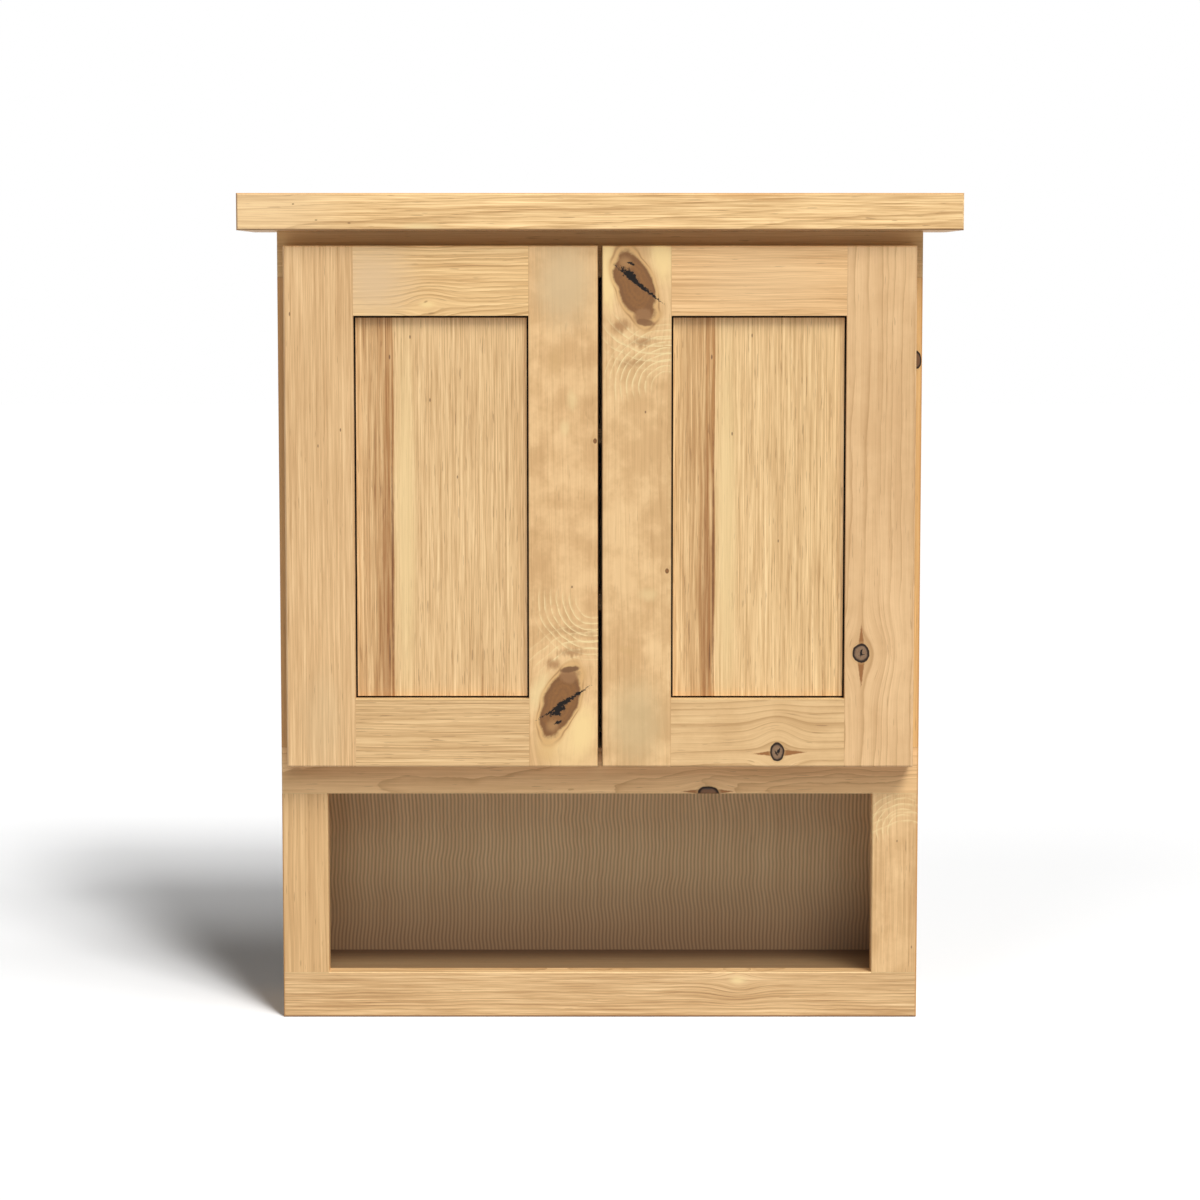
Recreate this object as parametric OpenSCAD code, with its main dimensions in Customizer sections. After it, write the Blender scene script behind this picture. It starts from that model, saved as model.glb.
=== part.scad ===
// Two-door wall cabinet for a bathroom, in solid knotty oak, with an open cubby below the doors.
// Millimetres. X runs to the right, -Y is the front, +Y is the wall side and Z is up.
// The origin is the middle of the overall footprint, on the plane of the bottom edge.

/* [Case] */
// Width over the two sides of the case
case_w = 610; // [480:5:900]
// Height of the case below the top slab
case_h = 754; // [700:1:900]
// Depth from the face of the frame to the wall
case_d = 134; // [120:1:200]
// Thickness of the two sides
side_t = 16; // [13:0.5:22]
// Thickness of the case top, the fixed shelf and the case bottom
deck_t = 16; // [13:0.5:22]
// Thickness of the back panel
back_t = 6; // [4:0.5:9]
// Depth of the dados and grooves that hold the decks and the back panel
dado_depth = 6; // [3:0.5:8]
// Height of the two hanging rails behind the back panel
hanging_rail_h = 60; // [40:5:80]
// Thickness of the hanging rails, which is also how far the back panel is set in
hanging_rail_t = 20; // [12:1:25]

/* [Wall screws] */
// Distance across between the wall screw holes, which is one stud spacing
wall_hole_span = 406.4; // [200:0.1:450]
// Diameter of the wall screw holes
wall_hole_dia = 5; // [4:0.5:7]

/* [Top slab] */
// Thickness of the slab on top
slab_t = 34.5; // [20:0.5:50]
// How far the slab stands out past each side
slab_side_overhang = 34.5; // [10:0.5:60]
// How far the slab stands out past the face of the frame
slab_front_overhang = 35; // [26:1:60]
// Width of the eased arris on the long edges of the slab
slab_ease = 1.5; // [0.5:0.1:4]
// Diameter of the shank of the screws that hold the slab
slab_screw_dia = 4; // [3:0.5:5]
// Length of those screws
slab_screw_len = 32; // [24:1:36]
// From the frame or the back panel to the nearer row of those screws
slab_screw_inset = 20; // [12:1:40]

/* [Face frame] */
// Thickness of the frame
frame_t = 20; // [18:1:25]
// Width of the frame's stiles
frame_stile_w = 43.8; // [40:0.1:60]
// Height of the bottom rail
bottom_rail_h = 43.5; // [30:0.5:60]
// Height of the open cubby
cubby_h = 173.8; // [120:0.1:220]
// Height of the middle rail between the cubby and the doors
middle_rail_h = 45; // [40:0.5:70]
// Height of the top rail
top_rail_h = 44; // [36:0.5:70]
// Length of the tenons on the stiles
frame_tenon_len = 12; // [6:1:18]
// Thickness of those tenons
frame_tenon_t = 7; // [5:0.5:9]
// Shoulder on each side of those tenons
frame_tenon_shoulder = 7; // [4:0.5:10]
// Width of the eased arris on boards
ease = 1; // [0.3:0.1:2]

/* [Doors] */
// Thickness of a door
door_t = 20; // [18:0.5:24]
// Space between the back of a closed door and the frame
door_gap = 3; // [2.8:0.1:5]
// Strip of the frame that shows outside each door
door_side_reveal = 7.5; // [4:0.5:10]
// Strip of the frame that shows above the doors
door_top_reveal = 14.3; // [5:0.1:25]
// Strip of the middle rail that shows below the doors
door_bottom_reveal = 29.3; // [10:0.1:32]
// Space between the two doors
door_middle_gap = 3.5; // [2:0.1:6]
// Width of the door's stiles and rails
door_frame_w = 65.5; // [60:0.5:90]
// Depth of the groove that holds the panel and the rails' tenons
panel_groove_depth = 10; // [6:0.5:12]
// Thickness of the panel's tongue
panel_tongue_t = 6; // [4:0.5:7]
// From the front of the door back to the front of that tongue
panel_tongue_inset = 10; // [8:0.5:12]
// From the front of the door back to the face of the panel
panel_inset = 6.5; // [3:0.5:8]
// Width of the shadow gap round the raised face of the panel
shadow_gap = 1.8; // [1:0.1:4]
// Width of the eased arris on the long edges of the doors' boards
door_ease = 1.4; // [0.5:0.1:2]

/* [Hinges] */
// From the top or bottom of a door to the middle of its hinge
hinge_inset = 75; // [50:1:110]
// Diameter of the bore for a hinge cup
cup_bore_dia = 35; // [35:0.1:36]
// Depth of that bore
cup_depth = 13; // [12.6:0.1:14]
// Wood left between the bore and the edge of the door
cup_tab = 3; // [2.5:0.1:3.5]
// Wall of the cup
cup_wall = 0.8; // [0.6:0.1:1]
// Thickness of the cup's flange
cup_flange_t = 0.8; // [0.5:0.1:0.9]
// Height between the two screws of a cup
cup_screw_span = 45; // [44:0.5:50]
// From the middle of the cup to the line of its screws
cup_screw_offset = 9.5; // [8:0.1:10]
// From the edge of the door to the hinge pin
pin_inset = 8; // [7.8:0.1:8.2]
// From the back of the door down to the hinge pin
pin_depth = 9.5; // [9.3:0.1:9.7]
// Diameter of the hinge pin
pin_dia = 2.5; // [2:0.1:2.6]
// Diameter of the knuckle that turns on the pin
knuckle_dia = 4.6; // [4:0.1:4.8]
// Height of the knuckle and of the arm that leaves it
knuckle_h = 12.6; // [8:0.2:13]
// Thickness of the hinge arm's metal
arm_t = 1.7; // [1.4:0.1:2]
// From the pin to the near face of the arm's riser
riser_inset = 12.8; // [12.6:0.1:14]
// Height of the plate that is screwed to the frame
arm_plate_h = 48; // [40:1:56]
// Height between the two screws of that plate
arm_screw_span = 30; // [24:1:36]
// Length of the hinge screws
hinge_screw_len = 14; // [10:0.5:15]
// Diameter of the hinge screws' shanks
hinge_screw_dia = 3.2; // [2.5:0.1:4]
// How far a door can be set up or down in the slots of that plate
slot_travel = 2.5; // [1.5:0.1:3]
// Width of the plate where it lies on the face of the frame
flare_w = 5; // [4:0.5:8]
// From the back of the frame to the end of the plate
plate_setback = 2; // [1:0.5:4]
// Metal round the head of a cup's screw
wing_margin = 2; // [1.5:0.1:3]
// Radius of the corners of a cup's wings
wing_corner = 3; // [2:0.1:4]
// Radius inside the bends of the hinge arm
bend_r = 0.8; // [0.5:0.1:1]
// Radius of the corners of the arm's plate
plate_corner = 3; // [1:0.5:4]
// Radius outside the rounded bottom of the cup
cup_corner = 2; // [1.2:0.1:3]

/* [Shelves] */
// Thickness of the two loose shelves
shelf_t = 16; // [12:0.5:22]
// Diameter of the holes for the shelf pins
shelf_hole_dia = 5; // [4:0.5:6]
// Height between two of those holes
shelf_hole_pitch = 32; // [25:1:40]
// Number of holes in a column
shelf_hole_count = 9; // [8:1:10]
// From the fixed shelf up to the lowest hole
shelf_hole_first = 64; // [40:1:90]
// From the front or back of a shelf to its column of holes
shelf_hole_inset = 16; // [12:0.5:24]
// Hole, counted from the bottom, that holds the lower shelf
lower_shelf_hole = 2; // [1:1:3]
// Hole, counted from the bottom, that holds the upper shelf
upper_shelf_hole = 7; // [6:1:8]
// Length of a shelf pin inside the side and inside the cabinet
shelf_pin_reach = 9; // [6:0.5:11]

/* [Bumpers] */
// Diameter of the soft bumpers on the doors
bumper_dia = 8; // [6:0.5:10]
// From the meeting edge of a door to the middle of a bumper
bumper_inset = 12; // [8:0.5:20]

/* [Hidden] */

$fn = 48;

// Named clearances
glue_gap = 0.1;      // a glued joint's slack
tongue_gap = 0.2;    // between the end of a tongue or tenon and the bottom of its groove
panel_slack = 1.5;   // room for the panel to swell in its groove
loose_gap = 1;       // round the loose shelves
run_gap = 0.05;      // between a pin and what turns or slides on it
side_run_gap = 0.3;  // between the knuckle and the cheeks of the cup
touch_gap = 0.3;     // between a bumper and the frame, or the cup's floor and the knuckle
cut_extra = 1;       // how far a cutter runs past the face that it opens

// Proportions of screws, as shares of the head's radius
recess_reach = 0.55;
recess_w_share = 0.25;
recess_depth = 0.4;
pan_rim_share = 0.4;
// Height of a bumper's straight side, as a share of its height
bumper_side_share = 0.4;
// Length and tip of a screw's point, as shares of the shank's radius
point_len_share = 2;
point_tip_share = 0.15;
// Outer slab screws, from the middle, as a share of the case's width
slab_screw_spread = 0.36;

// Colours of the finishes
oak = [0.87, 0.72, 0.50];
oak_dark = [0.80, 0.65, 0.45];
steel = [0.72, 0.72, 0.74];
rubber_clear = [0.85, 0.85, 0.82];

// The case's main planes
overall_d = case_d + slab_front_overhang;
back_y = overall_d / 2;
face_y = back_y - case_d;
frame_back_y = face_y + frame_t;
panel_back_y = back_y - hanging_rail_t;
panel_front_y = panel_back_y - back_t;
outer_x = case_w / 2;
inner_x = outer_x - side_t;
tongue_x = inner_x + dado_depth - tongue_gap;

// Heights
cubby_top = bottom_rail_h + cubby_h;
middle_top = cubby_top + middle_rail_h;
top_rail_z = case_h - top_rail_h;
deck_top_z = case_h - deck_t;
stile_inner_x = outer_x - frame_stile_w;

// The left door
door_x0 = -outer_x + door_side_reveal;
door_x1 = -door_middle_gap / 2;
door_z0 = cubby_top + door_bottom_reveal;
door_z1 = case_h - door_top_reveal;
door_back_y = face_y - door_gap;
door_front_y = door_back_y - door_t;
hinge_heights = [door_z0 + hinge_inset, door_z1 - hinge_inset];
groove_y0 = door_front_y + panel_tongue_inset;
groove_y1 = groove_y0 + panel_tongue_t;

// The hinges, across from the door's edge and back from the door's inner face
cup_r = cup_bore_dia / 2;
cup_centre = cup_tab + cup_r;
cavity_r = cup_r - glue_gap - cup_wall;
floor_t = cup_depth - pin_depth - knuckle_dia / 2 - touch_gap - glue_gap;
arm_end = frame_stile_w - door_side_reveal;
cup_screw_u = cup_centre + cup_screw_offset;
pin_reach = sqrt(pow(cup_r - glue_gap, 2) - pow(cup_centre - pin_inset + pin_dia / 2, 2)) - cup_wall / 2;
screw_head_r = hinge_screw_dia;
screw_head_h = hinge_screw_dia / 2;

// The loose shelves
shelf_y0 = frame_back_y + loose_gap;
shelf_y1 = panel_front_y - loose_gap;
shelf_hole_ys = [shelf_y0 + shelf_hole_inset, shelf_y1 - shelf_hole_inset];
shelf_hole_z0 = middle_top + shelf_hole_first;
pin_flat = shelf_hole_dia / 4;
pin_collar_t = 1.2;
pin_collar_r = shelf_hole_dia * 0.8;
slab_screw_xs = [-slab_screw_spread * case_w, 0, slab_screw_spread * case_w];
slab_screw_ys = [frame_back_y + slab_screw_inset, panel_front_y - slab_screw_inset];
slab_screw_head_r = slab_screw_dia;
wall_screw_zs = [middle_top + hanging_rail_h / 2, deck_top_z - hanging_rail_h / 2];

function shelf_pin_z(hole) = shelf_hole_z0 + hole * shelf_hole_pitch;
function shelf_z(hole) = shelf_pin_z(hole) + pin_flat;

function all_round(e) = [e, e, e, e];

// One point for a square arris, two for an eased one
function section_corner(at, to_last, to_next, e) = e > 0 ? [at + e * to_last, at + e * to_next] : [at];

// Section of a board, with the eases of its corners anticlockwise from the first
module eased_section(x0, x1, y0, y1, eases) {
    polygon(concat(
        section_corner([x0, y0], [0, 1], [1, 0], eases[0]),
        section_corner([x1, y0], [-1, 0], [0, 1], eases[1]),
        section_corner([x1, y1], [0, -1], [-1, 0], eases[2]),
        section_corner([x0, y1], [1, 0], [0, -1], eases[3])
    ));
}

module rounded_section(x0, x1, y0, y1, r) {
    translate([x0 + r, y0]) square([x1 - x0 - 2 * r, y1 - y0]);
    translate([x0, y0 + r]) square([x1 - x0, y1 - y0 - 2 * r]);
    for (x = [x0 + r, x1 - r]) for (y = [y0 + r, y1 - r]) translate([x, y]) circle(r = r);
}

module block(x0, x1, y0, y1, z0, z1) {
    translate([x0, y0, z0]) cube([x1 - x0, y1 - y0, z1 - z0]);
}

// Board whose grain runs up
module board_up(x0, x1, y0, y1, z0, z1, eases) {
    translate([0, 0, z0])
        linear_extrude(height = z1 - z0) eased_section(x0, x1, y0, y1, eases);
}

// Board whose grain runs across
module board_across(x0, x1, y0, y1, z0, z1, eases) {
    translate([x0, 0, 0])
        rotate([90, 0, 90])
            linear_extrude(height = x1 - x0) eased_section(y0, y1, z0, z1, eases);
}

// Cutter that eases an arris along X, where the wood lies to the into_y and into_z side of it
module ease_across(x0, x1, y, z, into_y, into_z) {
    far = ease + cut_extra;
    translate([x0, 0, 0])
        rotate([90, 0, 90])
            linear_extrude(height = x1 - x0)
                polygon([
                    [y - cut_extra * into_y, z - cut_extra * into_z],
                    [y + far * into_y, z - cut_extra * into_z],
                    [y - cut_extra * into_y, z + far * into_z]
                ]);
}

// Cylinder with a straight side and a domed top
module dome(r, side_h, h) {
    rise = h - side_h;
    dome_r = (r * r + rise * rise) / (2 * rise);
    intersection() {
        cylinder(h = h, r = r);
        translate([0, 0, h - dome_r]) sphere(r = dome_r);
    }
}

module pin_along_x(x0, x1, y, z, r) {
    translate([x0, y, z]) rotate([0, 90, 0]) cylinder(h = x1 - x0, r = r);
}

module pin_along_y(x, y0, y1, z, r) {
    translate([x, y0, z]) rotate([-90, 0, 0]) cylinder(h = y1 - y0, r = r);
}

// Countersunk screw that points up from its head, with a cross recess and a pointed end
module countersunk_screw(shank_r, head_r, len) {
    recess_r = head_r * recess_reach;
    recess_h = head_r * recess_depth;
    recess_w = head_r * recess_w_share;
    point_h = shank_r * point_len_share;
    difference() {
        union() {
            cylinder(h = head_r - shank_r, r1 = head_r, r2 = shank_r);
            cylinder(h = len - point_h, r = shank_r);
            translate([0, 0, len - point_h])
                cylinder(h = point_h, r1 = shank_r, r2 = shank_r * point_tip_share);
        }
        for (turn = [0, 90]) rotate([0, 0, turn])
            translate([-recess_r, -recess_w / 2, -cut_extra])
                cube([2 * recess_r, recess_w, recess_h + cut_extra]);
    }
}

// Room for that screw
module countersunk_hole(shank_r, head_r, len) {
    translate([0, 0, -cut_extra]) cylinder(h = cut_extra, r = head_r + run_gap);
    cylinder(h = head_r - shank_r, r1 = head_r + run_gap, r2 = shank_r + run_gap);
    cylinder(h = len + tongue_gap, r = shank_r + run_gap);
}

// Pan-head screw that points up from under its head, with a cross recess
module pan_screw(shank_r, head_r, head_h, len) {
    recess_r = head_r * recess_reach;
    recess_h = head_r * recess_depth;
    recess_w = head_r * recess_w_share;
    point_h = shank_r * point_len_share;
    difference() {
        union() {
            mirror([0, 0, 1]) dome(head_r, head_h * pan_rim_share, head_h);
            cylinder(h = len - point_h, r = shank_r);
            translate([0, 0, len - point_h])
                cylinder(h = point_h, r1 = shank_r, r2 = shank_r * point_tip_share);
        }
        for (turn = [0, 90]) rotate([0, 0, turn])
            translate([-recess_r, -recess_w / 2, -head_h - cut_extra])
                cube([2 * recess_r, recess_w, recess_h + cut_extra]);
    }
}

// Thick slab on top, flush with the wall side and standing out on the other three
module top_slab() {
    color(oak)
    difference() {
        intersection() {
            board_across(-outer_x - slab_side_overhang, outer_x + slab_side_overhang,
                -back_y, back_y, case_h, case_h + slab_t, all_round(slab_ease));
            translate([0, 0, case_h]) linear_extrude(height = slab_t)
                eased_section(-outer_x - slab_side_overhang, outer_x + slab_side_overhang,
                    -back_y, back_y, all_round(slab_ease));
        }
        slab_screw_holes();
    }
}

module slab_screw_places() {
    for (x = slab_screw_xs) for (y = slab_screw_ys)
        translate([x, y, deck_top_z]) children();
}

module slab_screw_holes() {
    slab_screw_places() countersunk_hole(slab_screw_dia / 2, slab_screw_head_r, slab_screw_len);
}

module slab_screws() {
    color(steel)
    slab_screw_places() countersunk_screw(slab_screw_dia / 2, slab_screw_head_r, slab_screw_len);
}

// Side of the case, with dados for the decks, a groove for the back panel and two columns of pin holes
module left_side() {
    color(oak_dark)
    difference() {
        board_up(-outer_x, -inner_x, frame_back_y, back_y, 0, case_h, [0, 0, ease, ease]);
        block(-inner_x - dado_depth, -inner_x + cut_extra, frame_back_y - cut_extra, back_y + cut_extra,
            bottom_rail_h - deck_t, bottom_rail_h + glue_gap);
        block(-inner_x - dado_depth, -inner_x + cut_extra, frame_back_y - cut_extra, back_y + cut_extra,
            deck_top_z - glue_gap, case_h + cut_extra);
        block(-inner_x - dado_depth, -inner_x + cut_extra, frame_back_y - cut_extra,
            panel_front_y + glue_gap, middle_top - deck_t, middle_top + glue_gap);
        block(-inner_x - dado_depth, -inner_x + cut_extra, panel_front_y, panel_back_y + glue_gap,
            bottom_rail_h - dado_depth, deck_top_z + dado_depth);
        for (y = shelf_hole_ys) for (hole = [0 : shelf_hole_count - 1])
            pin_along_x(-inner_x - shelf_pin_reach - tongue_gap, -inner_x + cut_extra,
                y, shelf_pin_z(hole), shelf_hole_dia / 2);
    }
}

module right_side() {
    mirror([1, 0, 0]) left_side();
}

module case_top() {
    color(oak_dark)
    difference() {
        block(-tongue_x, tongue_x, frame_back_y, back_y, deck_top_z, case_h);
        block(-tongue_x - cut_extra, tongue_x + cut_extra, panel_front_y, panel_back_y + glue_gap,
            deck_top_z - cut_extra, deck_top_z + dado_depth);
        slab_screw_holes();
    }
}

module fixed_shelf() {
    color(oak_dark)
    block(-tongue_x, tongue_x, frame_back_y, panel_front_y, middle_top - deck_t, middle_top);
}

module case_bottom() {
    color(oak_dark)
    difference() {
        block(-tongue_x, tongue_x, frame_back_y, back_y, bottom_rail_h - deck_t, bottom_rail_h);
        block(-tongue_x - cut_extra, tongue_x + cut_extra, panel_front_y, panel_back_y + glue_gap,
            bottom_rail_h - dado_depth, bottom_rail_h + cut_extra);
    }
}

module wall_screw_holes() {
    for (side = [-1, 1]) for (z = wall_screw_zs)
        pin_along_y(side * wall_hole_span / 2, panel_front_y - cut_extra, back_y + cut_extra,
            z, wall_hole_dia / 2);
}

module back_panel() {
    color(oak_dark)
    difference() {
        block(-tongue_x, tongue_x, panel_front_y, panel_back_y,
            bottom_rail_h - dado_depth, deck_top_z + dado_depth - tongue_gap);
        wall_screw_holes();
    }
}

module hanging_rail(z0) {
    color(oak_dark)
    difference() {
        board_across(-inner_x, inner_x, panel_back_y + glue_gap, back_y, z0, z0 + hanging_rail_h,
            all_round(ease));
        wall_screw_holes();
    }
}

module upper_hanging_rail() {
    hanging_rail(deck_top_z - hanging_rail_h);
}

module lower_hanging_rail() {
    hanging_rail(middle_top);
}

// Tenon on the end of a frame stile, or with slack its mortise in the rail
module frame_tenon(side, z0, z1, slack) {
    middle_y = face_y + frame_t / 2;
    block(side > 0 ? stile_inner_x + frame_tenon_shoulder - slack : -outer_x + frame_tenon_shoulder - slack,
        side > 0 ? outer_x - frame_tenon_shoulder + slack : -stile_inner_x - frame_tenon_shoulder + slack,
        middle_y - frame_tenon_t / 2 - slack, middle_y + frame_tenon_t / 2 + slack, z0, z1);
}

// A frame rail runs the full width. The stiles stand between the rails, flush with them, so a rail
// has mortises and eased arrises only where it borders an opening
module frame_rail(z0, z1, opening_below, opening_above) {
    difference() {
        board_up(-outer_x, outer_x, face_y, frame_back_y, z0, z1, [ease, ease, 0, 0]);
        if (opening_below) {
            ease_across(-stile_inner_x, stile_inner_x, face_y, z0, 1, 1);
            ease_across(-stile_inner_x, stile_inner_x, frame_back_y, z0, -1, 1);
            for (side = [-1, 1])
                frame_tenon(side, z0 - cut_extra, z0 + frame_tenon_len + tongue_gap, glue_gap);
        }
        if (opening_above) {
            ease_across(-stile_inner_x, stile_inner_x, face_y, z1, 1, -1);
            for (side = [-1, 1])
                frame_tenon(side, z1 - frame_tenon_len - tongue_gap, z1 + cut_extra, glue_gap);
        }
    }
}

module bottom_frame_rail() {
    color(oak)
    difference() {
        frame_rail(0, bottom_rail_h, false, true);
        ease_across(-outer_x - cut_extra, outer_x + cut_extra, face_y, 0, 1, 1);
    }
}

module middle_frame_rail() {
    color(oak) frame_rail(cubby_top, middle_top, true, true);
}

module top_frame_rail() {
    color(oak) frame_rail(top_rail_z, case_h, true, false);
}

module left_frame_stile(z0, z1) {
    board_up(-outer_x, -stile_inner_x, face_y, frame_back_y, z0, z1, [ease, ease, ease, 0]);
    frame_tenon(-1, z0 - frame_tenon_len, z1 + frame_tenon_len, 0);
}

module left_upper_frame_stile() {
    color(oak)
    difference() {
        left_frame_stile(middle_top, top_rail_z);
        arm_screw_places() translate([0, 0, -cut_extra])
            cylinder(h = hinge_screw_len + cut_extra + tongue_gap, r = hinge_screw_dia / 2 + run_gap);
    }
}

module right_upper_frame_stile() {
    mirror([1, 0, 0]) left_upper_frame_stile();
}

module left_lower_frame_stile() {
    color(oak) left_frame_stile(bottom_rail_h, cubby_top);
}

module right_lower_frame_stile() {
    mirror([1, 0, 0]) left_lower_frame_stile();
}

// Loose shelf on four pins
module loose_shelf(hole) {
    color(oak_dark)
    board_across(-inner_x + loose_gap, inner_x - loose_gap, shelf_y0, shelf_y1,
        shelf_z(hole), shelf_z(hole) + shelf_t, all_round(ease));
}

module upper_shelf() {
    loose_shelf(upper_shelf_hole);
}

module lower_shelf() {
    loose_shelf(lower_shelf_hole);
}

// Pin with a collar against the side and a flat for the shelf to lie on
module shelf_pin() {
    r = shelf_hole_dia / 2 - run_gap;
    difference() {
        union() {
            pin_along_x(-shelf_pin_reach, shelf_pin_reach, 0, 0, r);
            intersection() {
                pin_along_x(0, pin_collar_t, 0, 0, pin_collar_r);
                block(0, pin_collar_t, -pin_collar_r, pin_collar_r, -pin_collar_r, pin_flat);
            }
        }
        block(0, shelf_pin_reach + cut_extra, -shelf_hole_dia, shelf_hole_dia, pin_flat, shelf_hole_dia);
    }
}

module shelf_pins(hole) {
    color(steel)
    for (y = shelf_hole_ys) {
        translate([-inner_x, y, shelf_pin_z(hole)]) shelf_pin();
        translate([inner_x, y, shelf_pin_z(hole)]) mirror([1, 0, 0]) shelf_pin();
    }
}

module upper_shelf_pins() {
    shelf_pins(upper_shelf_hole);
}

module lower_shelf_pins() {
    shelf_pins(lower_shelf_hole);
}

// Puts a hinge's parts at both of its heights, with X from the edge of the left door and Y from its back
module hinge_places() {
    for (z = hinge_heights) translate([door_x0, door_back_y, z]) children();
}

// Points a screw at the frame through the plate of a hinge arm
module arm_screw_places() {
    hinge_places()
        for (side = [-1, 1])
            translate([arm_end + arm_t, door_gap + frame_t / 2, side * arm_screw_span / 2])
                rotate([0, -90, 0]) children();
}

// Quarter bend of a strip of the arm's metal, round a centre in the XY plane
module strip_bend(x, y, turn, h) {
    translate([x, y, -h / 2]) rotate([0, 0, turn])
        intersection() {
            difference() {
                cylinder(h = h, r = bend_r + arm_t);
                translate([0, 0, -cut_extra]) cylinder(h = h + 2 * cut_extra, r = bend_r);
            }
            cube([bend_r + arm_t, bend_r + arm_t, h]);
        }
}

// Strip from the pin inside the cup, out over its rim and along the face of the frame
module arm_strip(h) {
    bar_y = -pin_depth - knuckle_dia / 2;
    riser_x = pin_inset + riser_inset;
    leg_y = door_gap - arm_t;
    translate([pin_inset, -pin_depth, -h / 2]) cylinder(h = h, d = knuckle_dia);
    block(pin_inset, riser_x - bend_r, bar_y, bar_y + arm_t, -h / 2, h / 2);
    strip_bend(riser_x - bend_r, bar_y + arm_t + bend_r, -90, h);
    block(riser_x, riser_x + arm_t, bar_y + arm_t + bend_r, leg_y - bend_r, -h / 2, h / 2);
    strip_bend(riser_x + arm_t + bend_r, leg_y - bend_r, 90, h);
    block(riser_x + arm_t + bend_r, arm_end - bend_r, leg_y, door_gap, -h / 2, h / 2);
}

// Plate that wraps round the inner edge of the frame
module arm_plate(h) {
    leg_y = door_gap - arm_t;
    plate_end = door_gap + frame_t - plate_setback;
    block(arm_end - flare_w, arm_end - bend_r, leg_y, door_gap, -h / 2, h / 2);
    strip_bend(arm_end - bend_r, door_gap + bend_r, -90, h);
    block(arm_end, arm_end + arm_t, door_gap + bend_r, plate_end - plate_corner, -h / 2, h / 2);
    translate([arm_end, 0, 0]) rotate([90, 0, 90]) linear_extrude(height = arm_t)
        rounded_section(door_gap + plate_corner, plate_end, -h / 2, h / 2, plate_corner);
}

// Gooseneck arm with slots for its screws
module hinge_arm() {
    slot_r = hinge_screw_dia / 2 + glue_gap;
    slot_y = door_gap + frame_t / 2;
    difference() {
        union() {
            arm_strip(knuckle_h);
            arm_plate(arm_plate_h);
        }
        translate([pin_inset, -pin_depth, -knuckle_h / 2 - cut_extra])
            cylinder(h = knuckle_h + 2 * cut_extra, d = pin_dia + 2 * run_gap);
        for (side = [-1, 1]) translate([0, 0, side * arm_screw_span / 2]) {
            for (end = [-slot_travel, slot_travel])
                pin_along_x(arm_end - cut_extra, arm_end + arm_t + cut_extra, slot_y, end, slot_r);
            block(arm_end - cut_extra, arm_end + arm_t + cut_extra, slot_y - slot_r, slot_y + slot_r,
                -slot_travel, slot_travel);
        }
    }
}

module left_hinge_arms() {
    color(steel) hinge_places() hinge_arm();
}

module right_hinge_arms() {
    mirror([1, 0, 0]) left_hinge_arms();
}

module left_arm_screws() {
    color(steel)
    arm_screw_places() pan_screw(hinge_screw_dia / 2, screw_head_r, screw_head_h, hinge_screw_len);
}

module right_arm_screws() {
    mirror([1, 0, 0]) left_arm_screws();
}

module cup_screw_places() {
    hinge_places()
        for (side = [-1, 1])
            translate([cup_screw_u, cup_flange_t, side * cup_screw_span / 2])
                rotate([90, 0, 0]) children();
}

// Round cup body along Y, with a rounded bottom edge
module cup_body(r, y0, y1, corner) {
    translate([cup_centre, 0, 0]) rotate([-90, 0, 0]) rotate_extrude() {
        translate([0, y0]) square([r - corner, y1 - y0]);
        translate([0, y0 + corner]) square([r, y1 - y0 - corner]);
        translate([r - corner, y0 + corner]) circle(r = corner);
    }
}

// Pressed steel cup with two cheeks that hold the ends of the pin
module hinge_cup() {
    outer_r = cup_r - glue_gap;
    wing_r = screw_head_r + wing_margin;
    wing_half = cup_screw_span / 2 + wing_r;
    cheek_r = knuckle_dia / 2;
    cheek_z = knuckle_h / 2 + side_run_gap;
    difference() {
        union() {
            cup_body(outer_r, -cup_depth + glue_gap, cup_flange_t, cup_corner);
            intersection() {
                pin_along_y(cup_centre, 0, cup_flange_t, 0, cup_r + wing_margin);
                block(cup_tab, 2 * cup_centre, -cut_extra, cup_flange_t + cut_extra,
                    -2 * cup_r, 2 * cup_r);
            }
            translate([0, cup_flange_t, 0]) rotate([90, 0, 0])
                linear_extrude(height = cup_flange_t)
                    rounded_section(cup_screw_u - wing_r, cup_screw_u + wing_r,
                        -wing_half, wing_half, wing_corner);
        }
        difference() {
            cup_body(cavity_r, -cup_depth + glue_gap + floor_t, cup_flange_t + cut_extra,
                cup_corner - cup_wall);
            for (side = [-1, 1]) mirror([0, 0, side > 0 ? 0 : 1]) {
                translate([pin_inset, -pin_depth, cheek_z]) cylinder(h = cup_r, r = cheek_r);
                block(pin_inset - cheek_r, pin_inset + cheek_r, -cup_depth, -pin_depth, cheek_z, cup_r);
            }
        }
        translate([pin_inset, -pin_depth, -pin_reach - tongue_gap])
            cylinder(h = 2 * (pin_reach + tongue_gap), d = pin_dia + 2 * run_gap);
        for (side = [-1, 1])
            translate([cup_screw_u, cup_flange_t, side * cup_screw_span / 2]) rotate([90, 0, 0])
                countersunk_hole(hinge_screw_dia / 2, screw_head_r, hinge_screw_len);
    }
}

module left_hinge_cups() {
    color(steel) hinge_places() hinge_cup();
}

module right_hinge_cups() {
    mirror([1, 0, 0]) left_hinge_cups();
}

module left_hinge_pins() {
    color(steel)
    hinge_places() translate([pin_inset, -pin_depth, -pin_reach]) cylinder(h = 2 * pin_reach, d = pin_dia);
}

module right_hinge_pins() {
    mirror([1, 0, 0]) left_hinge_pins();
}

module left_cup_screws() {
    color(steel)
    cup_screw_places() countersunk_screw(hinge_screw_dia / 2, screw_head_r, hinge_screw_len);
}

module right_cup_screws() {
    mirror([1, 0, 0]) left_cup_screws();
}

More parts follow.
